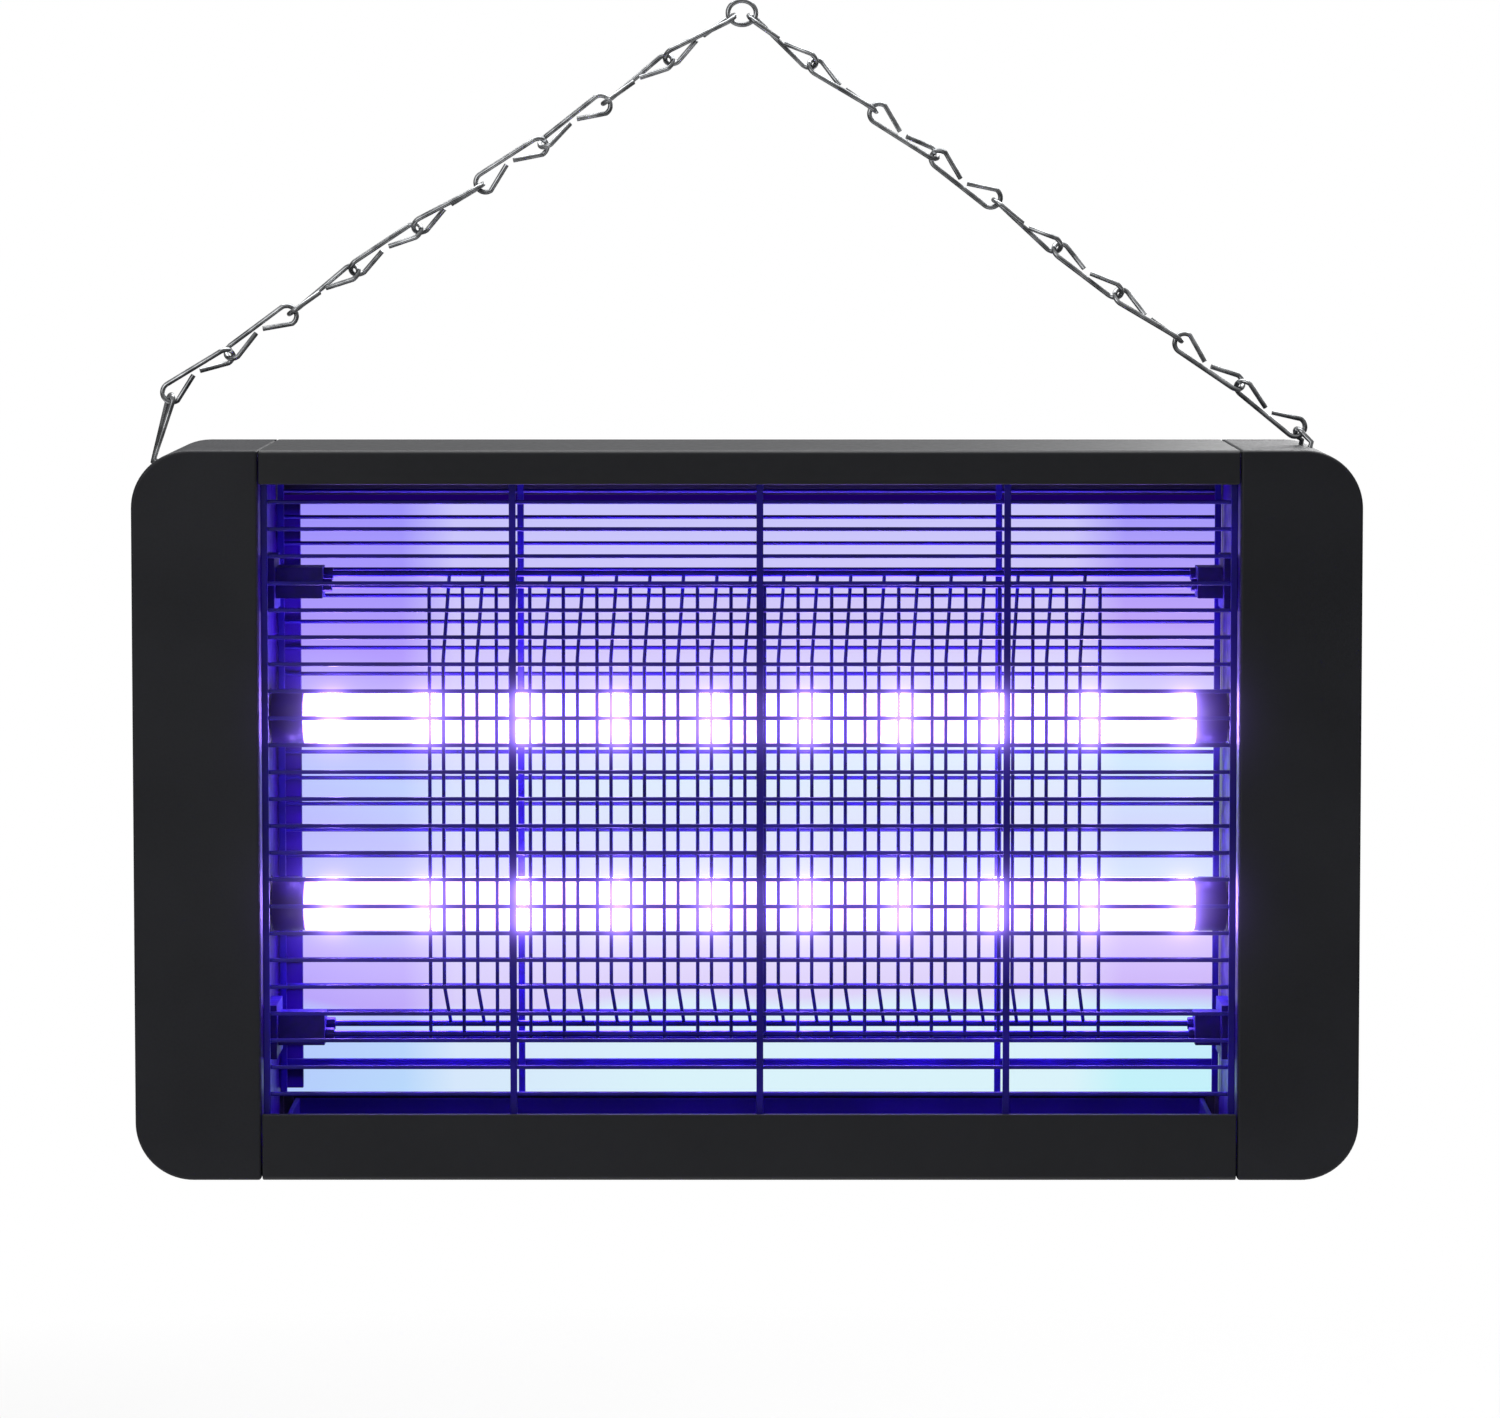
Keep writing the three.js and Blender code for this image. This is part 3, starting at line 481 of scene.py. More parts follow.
def wires(name, runs, diameter_mm, body, material, slot, replaces=(), sides=12):
    """Round wires along runs of points, as one piece."""
    vertices, edges = [], []
    for run in runs:
        start = len(vertices)
        vertices.extend(run)
        edges.extend((i, i + 1) for i in range(start, len(vertices) - 1))
    values = {"Radius": diameter_mm * MM / 2, "Sides": sides, "Material": material}
    mesh = grown(name, mesh_of(name, vertices, [], edges), wire_tree, **values)
    return finished(name, outward(mesh), body, material, slot, replaces)


def copies_at(name, points, shape, body, material, slot):
    """Copies of a small mesh on points, as one piece."""
    pattern = bpy.data.objects.new("pattern", shape)
    bpy.context.scene.collection.objects.link(pattern)
    points_mesh = mesh_of(name, points, [])
    mesh = grown(name, points_mesh, copy_tree, Shape=pattern, Material=material)
    bpy.data.objects.remove(pattern)
    return finished(name, outward(mesh), body, material, slot)


def boxes(name, size_mm, *centres):
    """Boxes of one size about the given points."""
    half = MM / 2 * Vector(size_mm)
    corners = [(x, y, z) for x in (-1, 1) for y in (-1, 1) for z in (-1, 1)]
    sides = ((0, 1, 3, 2), (4, 6, 7, 5), (0, 4, 5, 1), (2, 3, 7, 6), (0, 2, 6, 4), (1, 5, 7, 3))
    vertices, faces = [], []
    for centre in centres:
        start = len(vertices)
        vertices.extend(centre + Vector((x * half.x, y * half.y, z * half.z)) for x, y, z in corners)
        faces.extend([start + corner for corner in side] for side in sides)
    return outward(mesh_of(name, vertices, faces))


def nugget(size_mm):
    """A small round lump, such as a spot weld."""
    shape = bmesh.new()
    bmesh.ops.create_icosphere(shape, subdivisions=1, radius=size_mm * MM / 2)
    mesh = bpy.data.meshes.new("nugget")
    shape.to_mesh(mesh)
    shape.free()
    return mesh


for grille, shades in GRILLE_PAINT_LIT_AND_SHADED.items():
    dip_paint_with_painted_shading = surface(
        f"indigo dip paint on {grille} wire", shades, 14, 2, 0.15,
        shine=(3, 0.3, 0.46), relief=(2.5, 0.05, 0.4), same={"Specular IOR Level": 0.3},
    )
    finish = "housing", dip_paint_with_painted_shading, INDIGO_SLOT
    low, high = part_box(f"{grille}_grille")
    # The strips are on the front of the wires, so the wires' backs are the grille's back.
    wire_y = high.y - GRILLE_WIRE * MM / 2
    strip_y = low.y + GRILLE_WIRE * MM / 2
    levels = [at(0, 0, LOWEST_WIRE + i * WIRE_PITCH).z for i in range(WIRE_COUNT)]
    has_sill = grille == "rear"
    wire_levels = levels[1:] if has_sill else levels
    ends = low.x + WIRE_INSET * MM, high.x - WIRE_INSET * MM
    runs = [[(x, wire_y, z) for x in ends] for z in wire_levels]
    wires(f"{grille}_grille_wires", runs, GRILLE_WIRE, *finish, [f"{grille}_grille"])
    strip_x = STRIP_WIDTH * MM / 2
    places = [low.x + strip_x, *(at(x, 0, 0).x for x in STRIPS), high.x - strip_x]
    size = (STRIP_WIDTH, GRILLE_WIRE, (high.z - low.z) / MM)
    centres = [Vector((x, strip_y, (low.z + high.z) / 2)) for x in places]
    strips = boxes(f"{grille}_grille_strips", size, *centres)
    soften(finished(strips.name, strips, *finish), 0.25, 2)
    points = [(x, wire_y - WELD_DEPTH * MM, z) for x in places for z in levels]
    copies_at(f"{grille}_grille_welds", points, nugget(GRILLE_WELD), *finish)
    if has_sill:
        size = ((ends[1] - ends[0]) / MM, GRILLE_WIRE, SILL_HEIGHT)
        sill = boxes("rear_grille_sill", size, Vector((sum(ends) / 2, wire_y, levels[0])))
        soften(finished(sill.name, sill, *finish), 0.3, 2)

# ---- High-voltage grid ----
# Two combs of steel wire face each other: 21 straight live wires, and 20 return wires bent forward
# between them. Each is welded to a pair of rods, which the insulators hold.

LIVE_WIRES = 21
GRID_PITCH = 9.93
GRID_FIRST = -94.1
GRID_WIRE = 1.1
GRID_ROD = 1.8
GRID_WELD = 1.9
LIVE_Y, RETURN_Y = -16, -10.5
LIVE_OVERHANG = (-1.3, 0.4)
RETURN_BENDS = (54.7, 151.9)
RETURN_OFFSET, RETURN_LEAN = 4.1, 1.7
ROD_HEIGHTS = {"live": (40.4, 174.1), "return": (42.8, 177.2)}
ROD_ENDS = {"live": (-130, 137), "return": (-126.3, 135)}

# Bright-drawn steel: dark between its highlights. Its violet-blue is painted violet lamp light.
grid_steel = surface(
    "drawn grid steel", ("241a78", "3b2fa0"), 12, 3, 0.15,
    shine=(2.5, 0.25, 0.42), same={"Metallic": 0.8},
)
grid_finish = "housing", grid_steel, "grid_steel"

live_runs, return_runs = [], []
for i in range(LIVE_WIRES):
    x = GRID_FIRST + i * GRID_PITCH
    live_ends = zip(ROD_HEIGHTS["live"], LIVE_OVERHANG)
    live_runs.append([at(x, LIVE_Y, z + overhang) for z, overhang in live_ends])
    x += RETURN_OFFSET
    bottom, top = [at(x + RETURN_LEAN, RETURN_Y, z) for z in ROD_HEIGHTS["return"]]
    return_runs.append([bottom, *(at(x, LIVE_Y, z) for z in RETURN_BENDS), top])
combs = {"live": (live_runs, LIVE_Y), "return": (return_runs[:-1], RETURN_Y)}
for comb, (runs, y) in combs.items():
    heights = ROD_HEIGHTS[comb]
    wires(f"{comb}_comb_wires", runs, GRID_WIRE, *grid_finish, [f"{comb}_grid_comb"])
    rods = [[at(x, y, z) for x in ROD_ENDS[comb]] for z in heights]
    wires(f"{comb}_comb_rods", rods, GRID_ROD, *grid_finish, sides=16)
    ends = [end for run in runs for end in (run[0], run[-1])]
    points = [(end.x, end.y, at(0, 0, heights[i % 2]).z) for i, end in enumerate(ends)]
    copies_at(f"{comb}_comb_welds", points, nugget(GRID_WELD), *grid_finish)

# ---- Insulators ----
# Four blocks of glass-filled polymer hold the rods clear of the bulkheads, each pushed through its
# plate on a stem.

# Glass-filled polymer: dull and dark, with short fibres that show as a faint mottling. Its saturated
# violet is painted violet lamp light on a grey polymer.
insulator_polymer_painted_violet = surface(
    "glass-filled insulator polymer", ("1a0660", "280a80"), 3, 4,
    shine=(1.5, 0.4, 0.6), relief=(1, 0.05, 0.4), same={"Specular IOR Level": 0.25},
)
insulator_finish = "housing", insulator_polymer_painted_violet, "grey_insulator", 0.5, 3

for side_name in SIDES:
    for level in ("upper", "lower"):
        insulator = f"{level}_{side_name}_insulator"
        refined(insulator, f"{level}_{side_name}_rod_holder", *insulator_finish)

# ---- Lamps ----
# Each lamp is a polycarbonate diffuser tube over a strip of ten LEDs, with a moulded two-pin cap
# glued on each end. White holders grip the pins behind the bulkheads.

LAMP_Y = 8
LAMP_HEIGHTS = {"upper": 133, "lower": 76.6}
TUBE_SIDES = 64
TUBE_RADIUS = 8.0
TUBE_WALL = 0.7
TUBE_EDGE = 0.1
LED_COUNT = 10
LED_FIRST, LED_PITCH = -124.3, 28.4
LED_SIZE = (5.0, 1.0, 5.0)
LED_BOARD = (1.0, 10.0)
CAP_SIDES = 48
AXIS = 0.001  # How near to its axis a cap's flat ends close.
CAP_NOSE = ((0, AXIS), (0, 7.4), (0.5, 8.1))
CAP_MOUTH = ((-1.4, 8.2), (-1.2, 7.95), (0, 7.95), (0, AXIS))
PIN_LENGTH = 6.8
PIN_ROOT = 0.5
PIN_HALF_SPACING = 2.375
PIN_WIRE = 2.4
PEAK_GLOW, TUBE_GLOW = 90.0, 5.0
SPILL_START, SPILL_AIM = 9, 50
SPILL_SIZE = (0.26, 0.014)
SPILL_POWER = 0.4
SPILL_TINT = "7a40ff"

# Diffuser: frosted polycarbonate, glowing violet all along and brightest over each LED.
diffuser = surface(
    "frosted polycarbonate diffuser", ("e2e0ff", "f2f2ff"), 4, same={"Roughness": 0.35, "IOR": 1.58}
)
tree, shader, place = opened(diffuser)
violet = tinted(tree, place, ("9472ff", "a486ff"), 4)
tree.links.new(violet, shader.inputs["Emission Color"])
along = add(tree, "ShaderNodeSeparateXYZ", {0: place}).outputs["X"]
from_first = {0: along, 1: at(LED_FIRST, 0, 0).x}
shifted = add(tree, "ShaderNodeMath", from_first, operation="SUBTRACT").outputs[0]
pitch = LED_PITCH * MM
to_led = add(tree, "ShaderNodeMath", {0: shifted, 1: pitch / 2}, operation="PINGPONG").outputs[0]
peaks = {"Value": to_led, **limits(0.0, pitch / 6, PEAK_GLOW, TUBE_GLOW)}
strength = add(tree, "ShaderNodeMapRange", peaks).outputs[0]
tree.links.new(strength, shader.inputs["Emission Strength"])

# LED package: white epoxy over a violet die, lit.
lit_led = surface("lit LED package", ("f4f0ff", "ffffff"), 1.5, same={"Emission Strength": 40.0})
tree, shader, place = opened(lit_led)
core = tinted(tree, place, ("f0eaff", "ffffff"), 1.5)
tree.links.new(core, shader.inputs["Emission Color"])

# LED board: white solder mask on glass-fibre board.
led_board = surface("white LED board", ("e4e0f4", "f4f4fc"), 5, shine=(1.2, 0.3, 0.5))

# Holder: moulded polycarbonate, a warm white.
white_plastic = surface(
    "moulded white polycarbonate", ("dcdad6", "ecebe8"), 8,
    shine=(1.5, 0.3, 0.45), relief=(0.8, 0.03, 0.4),
)
holder_finish = "housing", white_plastic, "white_lamp_plastic", 0.5, 3

# Cap: violet-tinted polyamide, moulded, with a satin shine.
cap_nylon = surface(
    "moulded violet polyamide", ("2a1052", "381a6e"), 6,
    shine=(1.2, 0.35, 0.5), relief=(0.8, 0.03, 0.4),
)


def turned(name, profile, start, axis, sides):
    """A closed (along, radius) profile in millimetres turned about an axis from a point."""
    along, across = Vector(axis), Vector((0, 0, 1))
    other = along.cross(across)
    vertices, faces = [], []
    count = len(profile)
    for turn in range(sides):
        angle = 2 * math.pi * turn / sides
        spoke = math.cos(angle) * across + math.sin(angle) * other
        vertices.extend(start + MM * (a * along + r * spoke) for a, r in profile)
        here, there = turn * count, (turn + 1) % sides * count
        for i in range(count):
            j = (i + 1) % count
            faces.append((here + i, here + j, there + j, there + i))
    return outward(mesh_of(name, vertices, faces))


for level, height in LAMP_HEIGHTS.items():
    body = f"{level}_lamp"
    centre = at(0, LAMP_Y, height)
    low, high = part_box(f"{level}_lamp_tube")
    start, end = (low.x - base_middle.x) / MM, (high.x - base_middle.x) / MM
    bore, rim = TUBE_RADIUS - TUBE_WALL, TUBE_RADIUS - TUBE_EDGE
    profile = [(start, bore), (start, rim), (start + TUBE_EDGE, TUBE_RADIUS)]
    profile += [(end - TUBE_EDGE, TUBE_RADIUS), (end, rim), (end, bore)]
    mesh = turned(f"{level}_diffuser_tube", profile, centre, (1, 0, 0), TUBE_SIDES)
    finished(mesh.name, mesh, body, diffuser, "lamp_diffuser", [f"{level}_lamp_tube"])

    low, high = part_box(f"{level}_led_strip")
    board_y = high.y - LED_BOARD[0] * MM / 2
    board_middle = Vector(((low.x + high.x) / 2, board_y, centre.z))
    mesh = boxes(f"{level}_led_board", ((high.x - low.x) / MM, *LED_BOARD), board_middle)
    finished(mesh.name, mesh, body, led_board, "led_strip", [f"{level}_led_strip"])
    led_xs = [at(LED_FIRST + i * LED_PITCH, 0, 0).x for i in range(LED_COUNT)]
    points = [(x, board_y - LED_SIZE[1] * MM, centre.z) for x in led_xs]
    led = boxes("led", LED_SIZE, Vector((0, 0, 0)))
    soften(copies_at(f"{level}_leds", points, led, body, lit_led, "led_strip"), 0.35, 2)

    for side_name, side in SIDES.items():
        low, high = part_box(f"{level}_{side_name}_lamp_cap")
        mouth, pin_end = (high.x, low.x) if side < 0 else (low.x, high.x)
        length = abs(mouth - pin_end) / MM - PIN_LENGTH
        profile = [*CAP_NOSE, *((length + along, radius) for along, radius in CAP_MOUTH)]
        face = Vector((pin_end - side * PIN_LENGTH * MM, centre.y, centre.z))
        mesh = turned(f"{level}_{side_name}_tube_cap", profile, face, (-side, 0, 0), CAP_SIDES)
        finished(mesh.name, mesh, body, cap_nylon, BLACK_SLOT, [f"{level}_{side_name}_lamp_cap"])
        root = face.x - side * PIN_ROOT * MM
        heights = [centre.z + end * PIN_HALF_SPACING * MM for end in (-1, 1)]
        pins = [[(x, centre.y, z) for x in (root, pin_end)] for z in heights]
        pin_name = f"{level}_{side_name}_cap_pins"
        wires(pin_name, pins, PIN_WIRE, body, grid_steel, "grid_steel", sides=16)
        holder = f"{level}_{side_name}_lamp_holder"
        refined(holder, f"{holder}_socket", *holder_finish)

# The light that each row of LEDs throws up to the top channel, or down to the tray.
for level, side in (("upper", 1), ("lower", -1)):
    start = at(0, LAMP_Y, LAMP_HEIGHTS[level] + side * SPILL_START)
    end = start + Vector((0, 0, side * SPILL_AIM * MM))
    soft_light(f"{level} lamp light", start, end, SPILL_SIZE, SPILL_POWER, SPILL_TINT, "housing")

# ---- Glow behind the rear grille ----
# A backdrop card, not part of the object: it shows the lamps' violet and pale blue light that is
# otherwise lost through the open back. It has one side only, so it is not there from behind.

CARD_LOW, CARD_HIGH = (-142.8, 37.2, 15.5), (144.2, 37.2, 198.3)
CARD_BANDS = (
    (0.0, "c4f2fa"), (0.14, "c8ecfd"), (0.17, "cdb6f8"), (0.26, "d8c8fd"), (0.34, "d4e6fe"),
    (0.45, "d4dafd"), (0.56, "d0e8fe"), (0.68, "cfc8fd"), (0.78, "bda4fa"), (0.92, "a99cfb"),
    (1.0, "a29afc"),
)
BAND_PATCH, BAND_WAVER = 130, 0.05
LEFT_TINT, LEFT_REACH, LEFT_MOST = "9c8cff", 120, 0.45
PALE_TINT, PALE_MIDDLE, PALE_EDGES, PALE_MOST = "f4f4fb", 5, (94, 110), 0.42
# The card's dark violet band along its top is a painted shadow under the rear lip.
LIP_PAINTED_SHADOW, LIP_SHADOW_EDGES = "19015a", (2.2, 2.0)

card = bpy.data.materials.new("lit backdrop card")
card.use_nodes = True
tree = card.node_tree
tree.nodes.remove(tree.nodes["Principled BSDF"])
place = add(tree, "ShaderNodeTexCoord").outputs["Object"]
low, high = at(*CARD_LOW), at(*CARD_HIGH)
spot = add(tree, "ShaderNodeSeparateXYZ", {0: place})
x, z = spot.outputs["X"], spot.outputs["Z"]
rise = add(tree, "ShaderNodeMapRange", {"Value": z, **limits(low.z, high.z)}).outputs[0]
waver = {0: rise, 1: drift(tree, place, BAND_PATCH, -BAND_WAVER, BAND_WAVER)}
rise = add(tree, "ShaderNodeMath", waver, operation="ADD").outputs[0]
bands = add(tree, "ShaderNodeValToRGB", {"Fac": rise})
for i, (height, shade) in enumerate(CARD_BANDS):
    stops = bands.color_ramp.elements
    stop = stops[i] if i < len(stops) else stops.new(height)
    stop.position = height
    stop.color = linear(shade)
from_middle = {0: x, 1: at(PALE_MIDDLE, 0, 0).x}
from_middle = add(tree, "ShaderNodeMath", from_middle, operation="SUBTRACT").outputs[0]
from_middle = add(tree, "ShaderNodeMath", {0: from_middle}, operation="ABSOLUTE").outputs[0]
left = limits(low.x, low.x + LEFT_REACH * MM, LEFT_MOST, 0.0)
pale = limits(*(edge * MM for edge in PALE_EDGES), PALE_MOST, 0.0)
# A painted shadow darkens the card's top edge under the rear lip.
painted_lip_shadow = limits(*(high.z - edge * MM for edge in LIP_SHADOW_EDGES))
colour = bands.outputs["Color"]
layers = ((x, left, LEFT_TINT), (from_middle, pale, PALE_TINT), (z, painted_lip_shadow, LIP_PAINTED_SHADOW))
for value, reach, tint in layers:
    fade = add(tree, "ShaderNodeMapRange", {"Value": value, **reach}).outputs[0]
    mixed = {"Fac": fade, "Color1": colour, "Color2": linear(tint)}
    colour = add(tree, "ShaderNodeMixRGB", mixed).outputs[0]
glow = add(tree, "ShaderNodeEmission", {"Color": colour}).outputs[0]
clear = add(tree, "ShaderNodeBsdfTransparent").outputs[0]
behind = add(tree, "ShaderNodeNewGeometry").outputs["Backfacing"]
one_sided = add(tree, "ShaderNodeMixShader", {0: behind, 1: glow, 2: clear}).outputs[0]
tree.links.new(one_sided, tree.nodes["Material Output"].inputs["Surface"])
corners = [(low.x, low.y, low.z), (high.x, low.y, low.z), (high.x, low.y, high.z)]
corners.append((low.x, low.y, high.z))
card_mesh = mesh_of("backdrop_card", corners, [range(4)])
backdrop = finished("backdrop_card", card_mesh, "housing", card)

# ---- Collection tray ----
# A shallow ABS tray below the grid catches what falls. It slides out to the rear by its lip, and a
# thin face on its rear wall laps over the edge of its doorway.

TRAY_FACE, TRAY_FACE_MIDDLE = (281.4, 0.8, 12.8), (0.7, 40.45, 8.2)
END_TAB, END_TAB_MIDDLES = (1.2, 1.2, 13.7), ((-142.5, 37.7, 8.55), (143.8, 37.7, 8.55))

# Tray plastic: black ABS with a dull, coarse grain. Its dark indigo, like that of the chamber it
# lines, is painted violet lamp light.
tray_plastic_painted_violet = surface(
    "moulded indigo-black ABS", ("0e0538", "160848"), 30, 3, 0.15,
    shine=(0.9, 0.6, 0.75), relief=(0.9, 0.05, 0.5), grain={"Roughness": 0.6},
    same={"Specular IOR Level": 0.08},
)

refined("collection_tray", "catch_tray", "tray", tray_plastic_painted_violet, BLACK_SLOT, 0.4, 2)
tray_face = boxes("catch_tray_face", TRAY_FACE, at(*TRAY_FACE_MIDDLE))
soften(finished(tray_face.name, tray_face, "tray", moulded_abs, BLACK_SLOT), 0.25, 2)

# A folded tab closes each end of the bottom channel's rear wall, beside the doorway.
tabs = boxes("bottom_channel_end_tabs", END_TAB, *(at(*middle) for middle in END_TAB_MIDDLES))
soften(finished(tabs.name, tabs, "housing", powder_coat, SHEET_SLOT), 0.2, 2)

# ---- Inlet and switch ----
# A two-pin inlet and a rocker switch, both moulded in nylon, snap into the right-hand cover. The
# inlet's pins are turned brass.

INLET_PINS = (157.7, 166.3)
INLET_PIN_Y = (30, 38.9)
INLET_PIN_Z = 32
INLET_PIN_WIRE = 2.5
WIRE_SLOT = "zinc_plated_wire"

# Gloss-moulded nylon: smoother and blacker than the covers.
nylon = surface(
    "moulded black nylon", ("141416", "1b1b1e"), 10, 2, 0.15,
    shine=(4, 0.24, 0.34), relief=(3, 0.02, 0.2),
)

# Nickel plate: a warm grey mirror on the pins.
nickel_plate = surface(
    "nickel plate on brass", ("b9b4a8", "d0ccc2"), 4, shine=(2, 0.2, 0.3), same={"Metallic": 1.0}
)

nylon_finish = nylon, BLACK_SLOT, 0.5, 3
refined("power_inlet", "two_pin_inlet", "housing", *nylon_finish)
pin_runs = [[at(x, y, INLET_PIN_Z) for y in INLET_PIN_Y] for x in INLET_PINS]
wires("inlet_pins", pin_runs, INLET_PIN_WIRE, "housing", nickel_plate, WIRE_SLOT, sides=20)
refined("switch_body", "switch_bezel", "housing", *nylon_finish)
refined("switch_rocker", "rocker_button", "rocker", *nylon_finish)

# ---- Chain ----
# Nine links a side of 1.5 mm zinc-plated wire, each bent by machine so that its two ends nearly meet
# beside its long straight side. A twist between its two bows lets the chain lie flat.

LINK_WIRE = 1.5
LINK_LENGTH = 24.5
BOW = 2.9
BOW_STEP = 10
FIRST_BOW_TURN = 80
LINK_TURNS = (-45, 90, 60, 0, -45, -45, 90, 45, 0)
LINK_CLEARANCE = 0.3
WAIST_GAP = 0.4
END_HALF_GAP = 1.2
CHAIN_SIDES = 14
RING_HALF_WIDTH, RING_HALF_HEIGHT = 4.15, 3.55
# Each hanger's eye (x, z), the angle it leans at, and its reach down to the moulding.
HANGERS = {"left": (-171.8, 227.8, 76, 18.5), "right": (164.7, 217.9, 121, 3.4)}

# Bright zinc plate over steel wire: light grey metal that drifts to mid grey in patches about 5 mm
# across, painted shade standing in for dark reflections on the wire.
zinc_plate = surface(
    "bright zinc plate on wire", ("737577", "c6c8ca"), 5, 3, 0.15,
    shine=(4, 0.16, 0.28), relief=(2.5, 0.02, 0.25), same={"Metallic": 1.0},
)


def direction(degrees):
    """A unit vector in the plane of the chain, from its angle above +X."""
    return Vector((math.cos(math.radians(degrees)), 0, math.sin(math.radians(degrees))))


def chain_run(side_name):
    """Where a side's chain starts in the ring, its direction and its length, in millimetres."""
    x, z, lean, _ = HANGERS[side_name]
    ring = Vector((0, 0, LINK_WIRE / 2 - RING_HALF_HEIGHT))
    eye = at(x, 0, z) / MM
    last_bow = Vector((eye.x, 0, eye.z)) + BOW * direction(lean)
    pull = (last_bow - ring).normalized()
    on_ring = Vector((pull.x * RING_HALF_WIDTH**2, 0, pull.z * RING_HALF_HEIGHT**2))
    on_ring /= math.hypot(pull.x * RING_HALF_WIDTH, pull.z * RING_HALF_HEIGHT)
    start = ring + on_ring - (LINK_WIRE + LINK_CLEARANCE) * pull
    along = (last_bow - start).normalized()
    return start, along, (last_bow - start).length + BOW


def link_points(centre, along, start_turn, end_turn):
    """The centreline of one link's wire, from one end at its waist to the other."""
    low_side = Vector((-along.z, 0, along.x))

    def corner(u, v, turn):
        angle = math.radians(turn)
        across = math.sin(angle) * Vector((0, 1, 0)) + math.cos(angle) * low_side
        return MM * (centre + u * along + v * across)

    twist = math.radians(end_turn - start_turn)
    pinch = -BOW * math.cos(twist / 2) + LINK_WIRE + WAIST_GAP
    waist = (start_turn + end_turn) / 2
    bow_at = LINK_LENGTH / 2 - BOW
    bow = [math.radians(90 - BOW_STEP * i) for i in range(180 // BOW_STEP + 1)]
    curl = [(bow_at + BOW * math.cos(a), BOW * math.sin(a)) for a in bow]
    first = [corner(-u, v, start_turn) for u, v in curl]
    second = [corner(u, v, end_turn) for u, v in reversed(curl)]
    ends = [corner(u, pinch, waist) for u in (-END_HALF_GAP, END_HALF_GAP)]
    return [ends[0], *first, *second, ends[1]]


link_runs, link_nodes = [], []
for side_name, side in SIDES.items():
    start, along, length = chain_run(side_name)
    pitch = (length - LINK_LENGTH) / (len(LINK_TURNS) - 1)
    above = FIRST_BOW_TURN - 90
    for i, below in enumerate(LINK_TURNS):
        upper = above + 90
        while upper - below > 90:
            upper -= 180
        centre = start + (LINK_LENGTH / 2 + i * pitch) * along
        link_runs.append(link_points(centre, along, side * upper, side * below))
        link_nodes.append(f"{side_name}_link_{i + 1}")
        above = below
chain_finish = "chain", zinc_plate, WIRE_SLOT
wires("chain_links", link_runs, LINK_WIRE, *chain_finish, link_nodes, CHAIN_SIDES)

# ---- Apex ring ----
# One round of the same zinc-plated wire, slightly flattened, that both legs of the chain hang from.
# Its ends are butted together.

RING_STEPS = 60

ring_turns = [2 * math.pi * i / RING_STEPS for i in range(RING_STEPS + 1)]
ring_top = LINK_WIRE / 2
ring_xs = [RING_HALF_WIDTH * math.cos(a) for a in ring_turns]
ring_zs = [ring_top + RING_HALF_HEIGHT * (math.sin(a) - 1) for a in ring_turns]
ring_run = [MM * Vector((x, 0, z)) for x, z in zip(ring_xs, ring_zs)]
ring_finish = "ring", zinc_plate, WIRE_SLOT
wires("apex_wire_ring", [ring_run], LINK_WIRE, *ring_finish, ["apex_ring"], CHAIN_SIDES)

# ---- Hangers ----
# A wire eye at each shoulder takes the last link. Its two legs spread and hook into the end
# moulding.

HANGER_Y = -0.5
HANGER_WIRE = 1.6
HANGER_EYE = 2.1
HANGER_FOOT = 3.6
HANGER_TWIST = 25
HANGER_DEPTH = 5.5


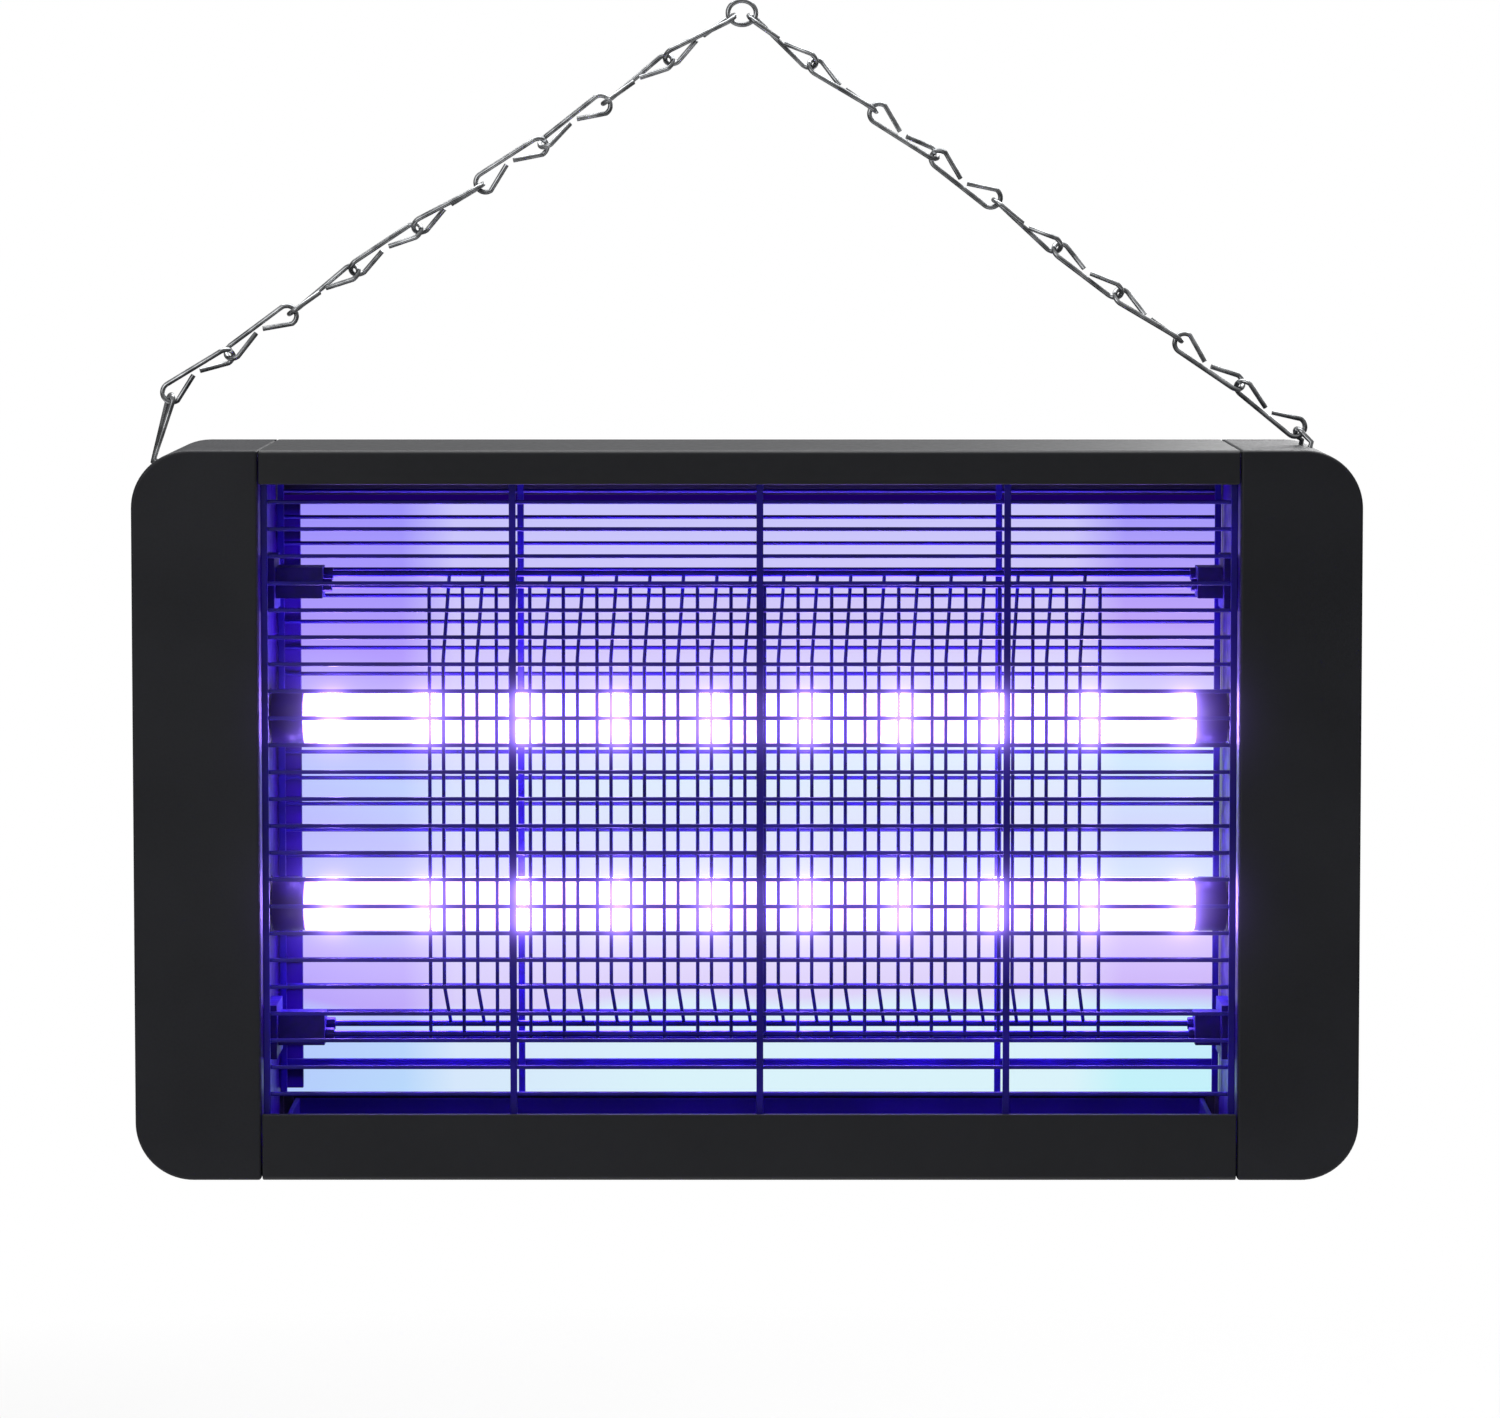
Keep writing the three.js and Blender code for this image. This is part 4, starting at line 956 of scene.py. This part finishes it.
def hanger_points(side_name, side):
    """The centreline of a hanger's wire, from one foot round its eye to the other."""
    x, z, lean, reach = HANGERS[side_name]
    along = direction(lean)
    twist = math.radians(HANGER_TWIST)
    forward = Vector((0, 1, 0))
    across = math.cos(twist) * forward + math.sin(twist) * along.cross(forward)
    eye = Vector((x, HANGER_Y, z))
    shoulder_x = side * (HOUSING_WIDTH / 2 - END_RADIUS)
    legs = []
    for end in (-1, 1):
        low = eye - reach * along + end * HANGER_FOOT * across
        centre = Vector((shoulder_x, low.y, HOUSING_HEIGHT - END_RADIUS))
        out = (low - centre).normalized()
        reaches = END_RADIUS - HANGER_DEPTH, END_RADIUS + HANGER_WIRE
        legs.append([centre + distance * out for distance in reaches])
    bow = [math.radians(BOW_STEP * i - 90) for i in range(180 // BOW_STEP + 1)]
    loop = [eye + HANGER_EYE * (math.cos(a) * along + math.sin(a) * across) for a in bow]
    return [at(*point) for point in [*legs[0], *loop, *reversed(legs[1])]]


housing_zinc = "housing", zinc_plate, WIRE_SLOT
for side_name, side in SIDES.items():
    hanger = f"{side_name}_hanger"
    run = hanger_points(side_name, side)
    wires(f"{hanger}_wire", [run], HANGER_WIRE, *housing_zinc, [hanger], CHAIN_SIDES)

# ---- Cover screws ----
# One pan-head screw a cover, turned from steel and zinc plated. It holds the cover to a boss inside
# the end.

for side_name in SIDES:
    screw = f"{side_name}_cover_screw"
    refined(screw, f"{side_name}_pan_head_screw", *housing_zinc, 0.2, 2)

# ---- Boards and leads ----
# Two glass-fibre boards stand on posts in the right-hand end, and insulated leads run from them.
# The frame's own solids stay here, with these materials.

# Solder mask: green lacquer over glass fibre, which mottles it faintly.
solder_mask = surface("green solder mask", ("1f5a38", "2f7a4c"), 3, 3, same={"Roughness": 0.35})

# Extruded PVC sleeves: smooth, with a soft shine.
sleeve = {"Roughness": 0.45}
black_pvc = surface("black PVC sleeve", ("151517", "1e1e21"), 4, same=sleeve)
white_pvc = surface("white PVC sleeve", ("cfcfca", "dededa"), 4, same=sleeve)

kept = {
    "high_voltage_board": solder_mask, "lamp_driver_board": solder_mask,
    "live_grid_lead": black_pvc, "return_grid_lead": black_pvc, "lamp_lead": white_pvc,
}
for node_name, material in kept.items():
    mesh = frame["nodes"][node_name].data
    mesh.materials.clear()
    mesh.materials.append(material)
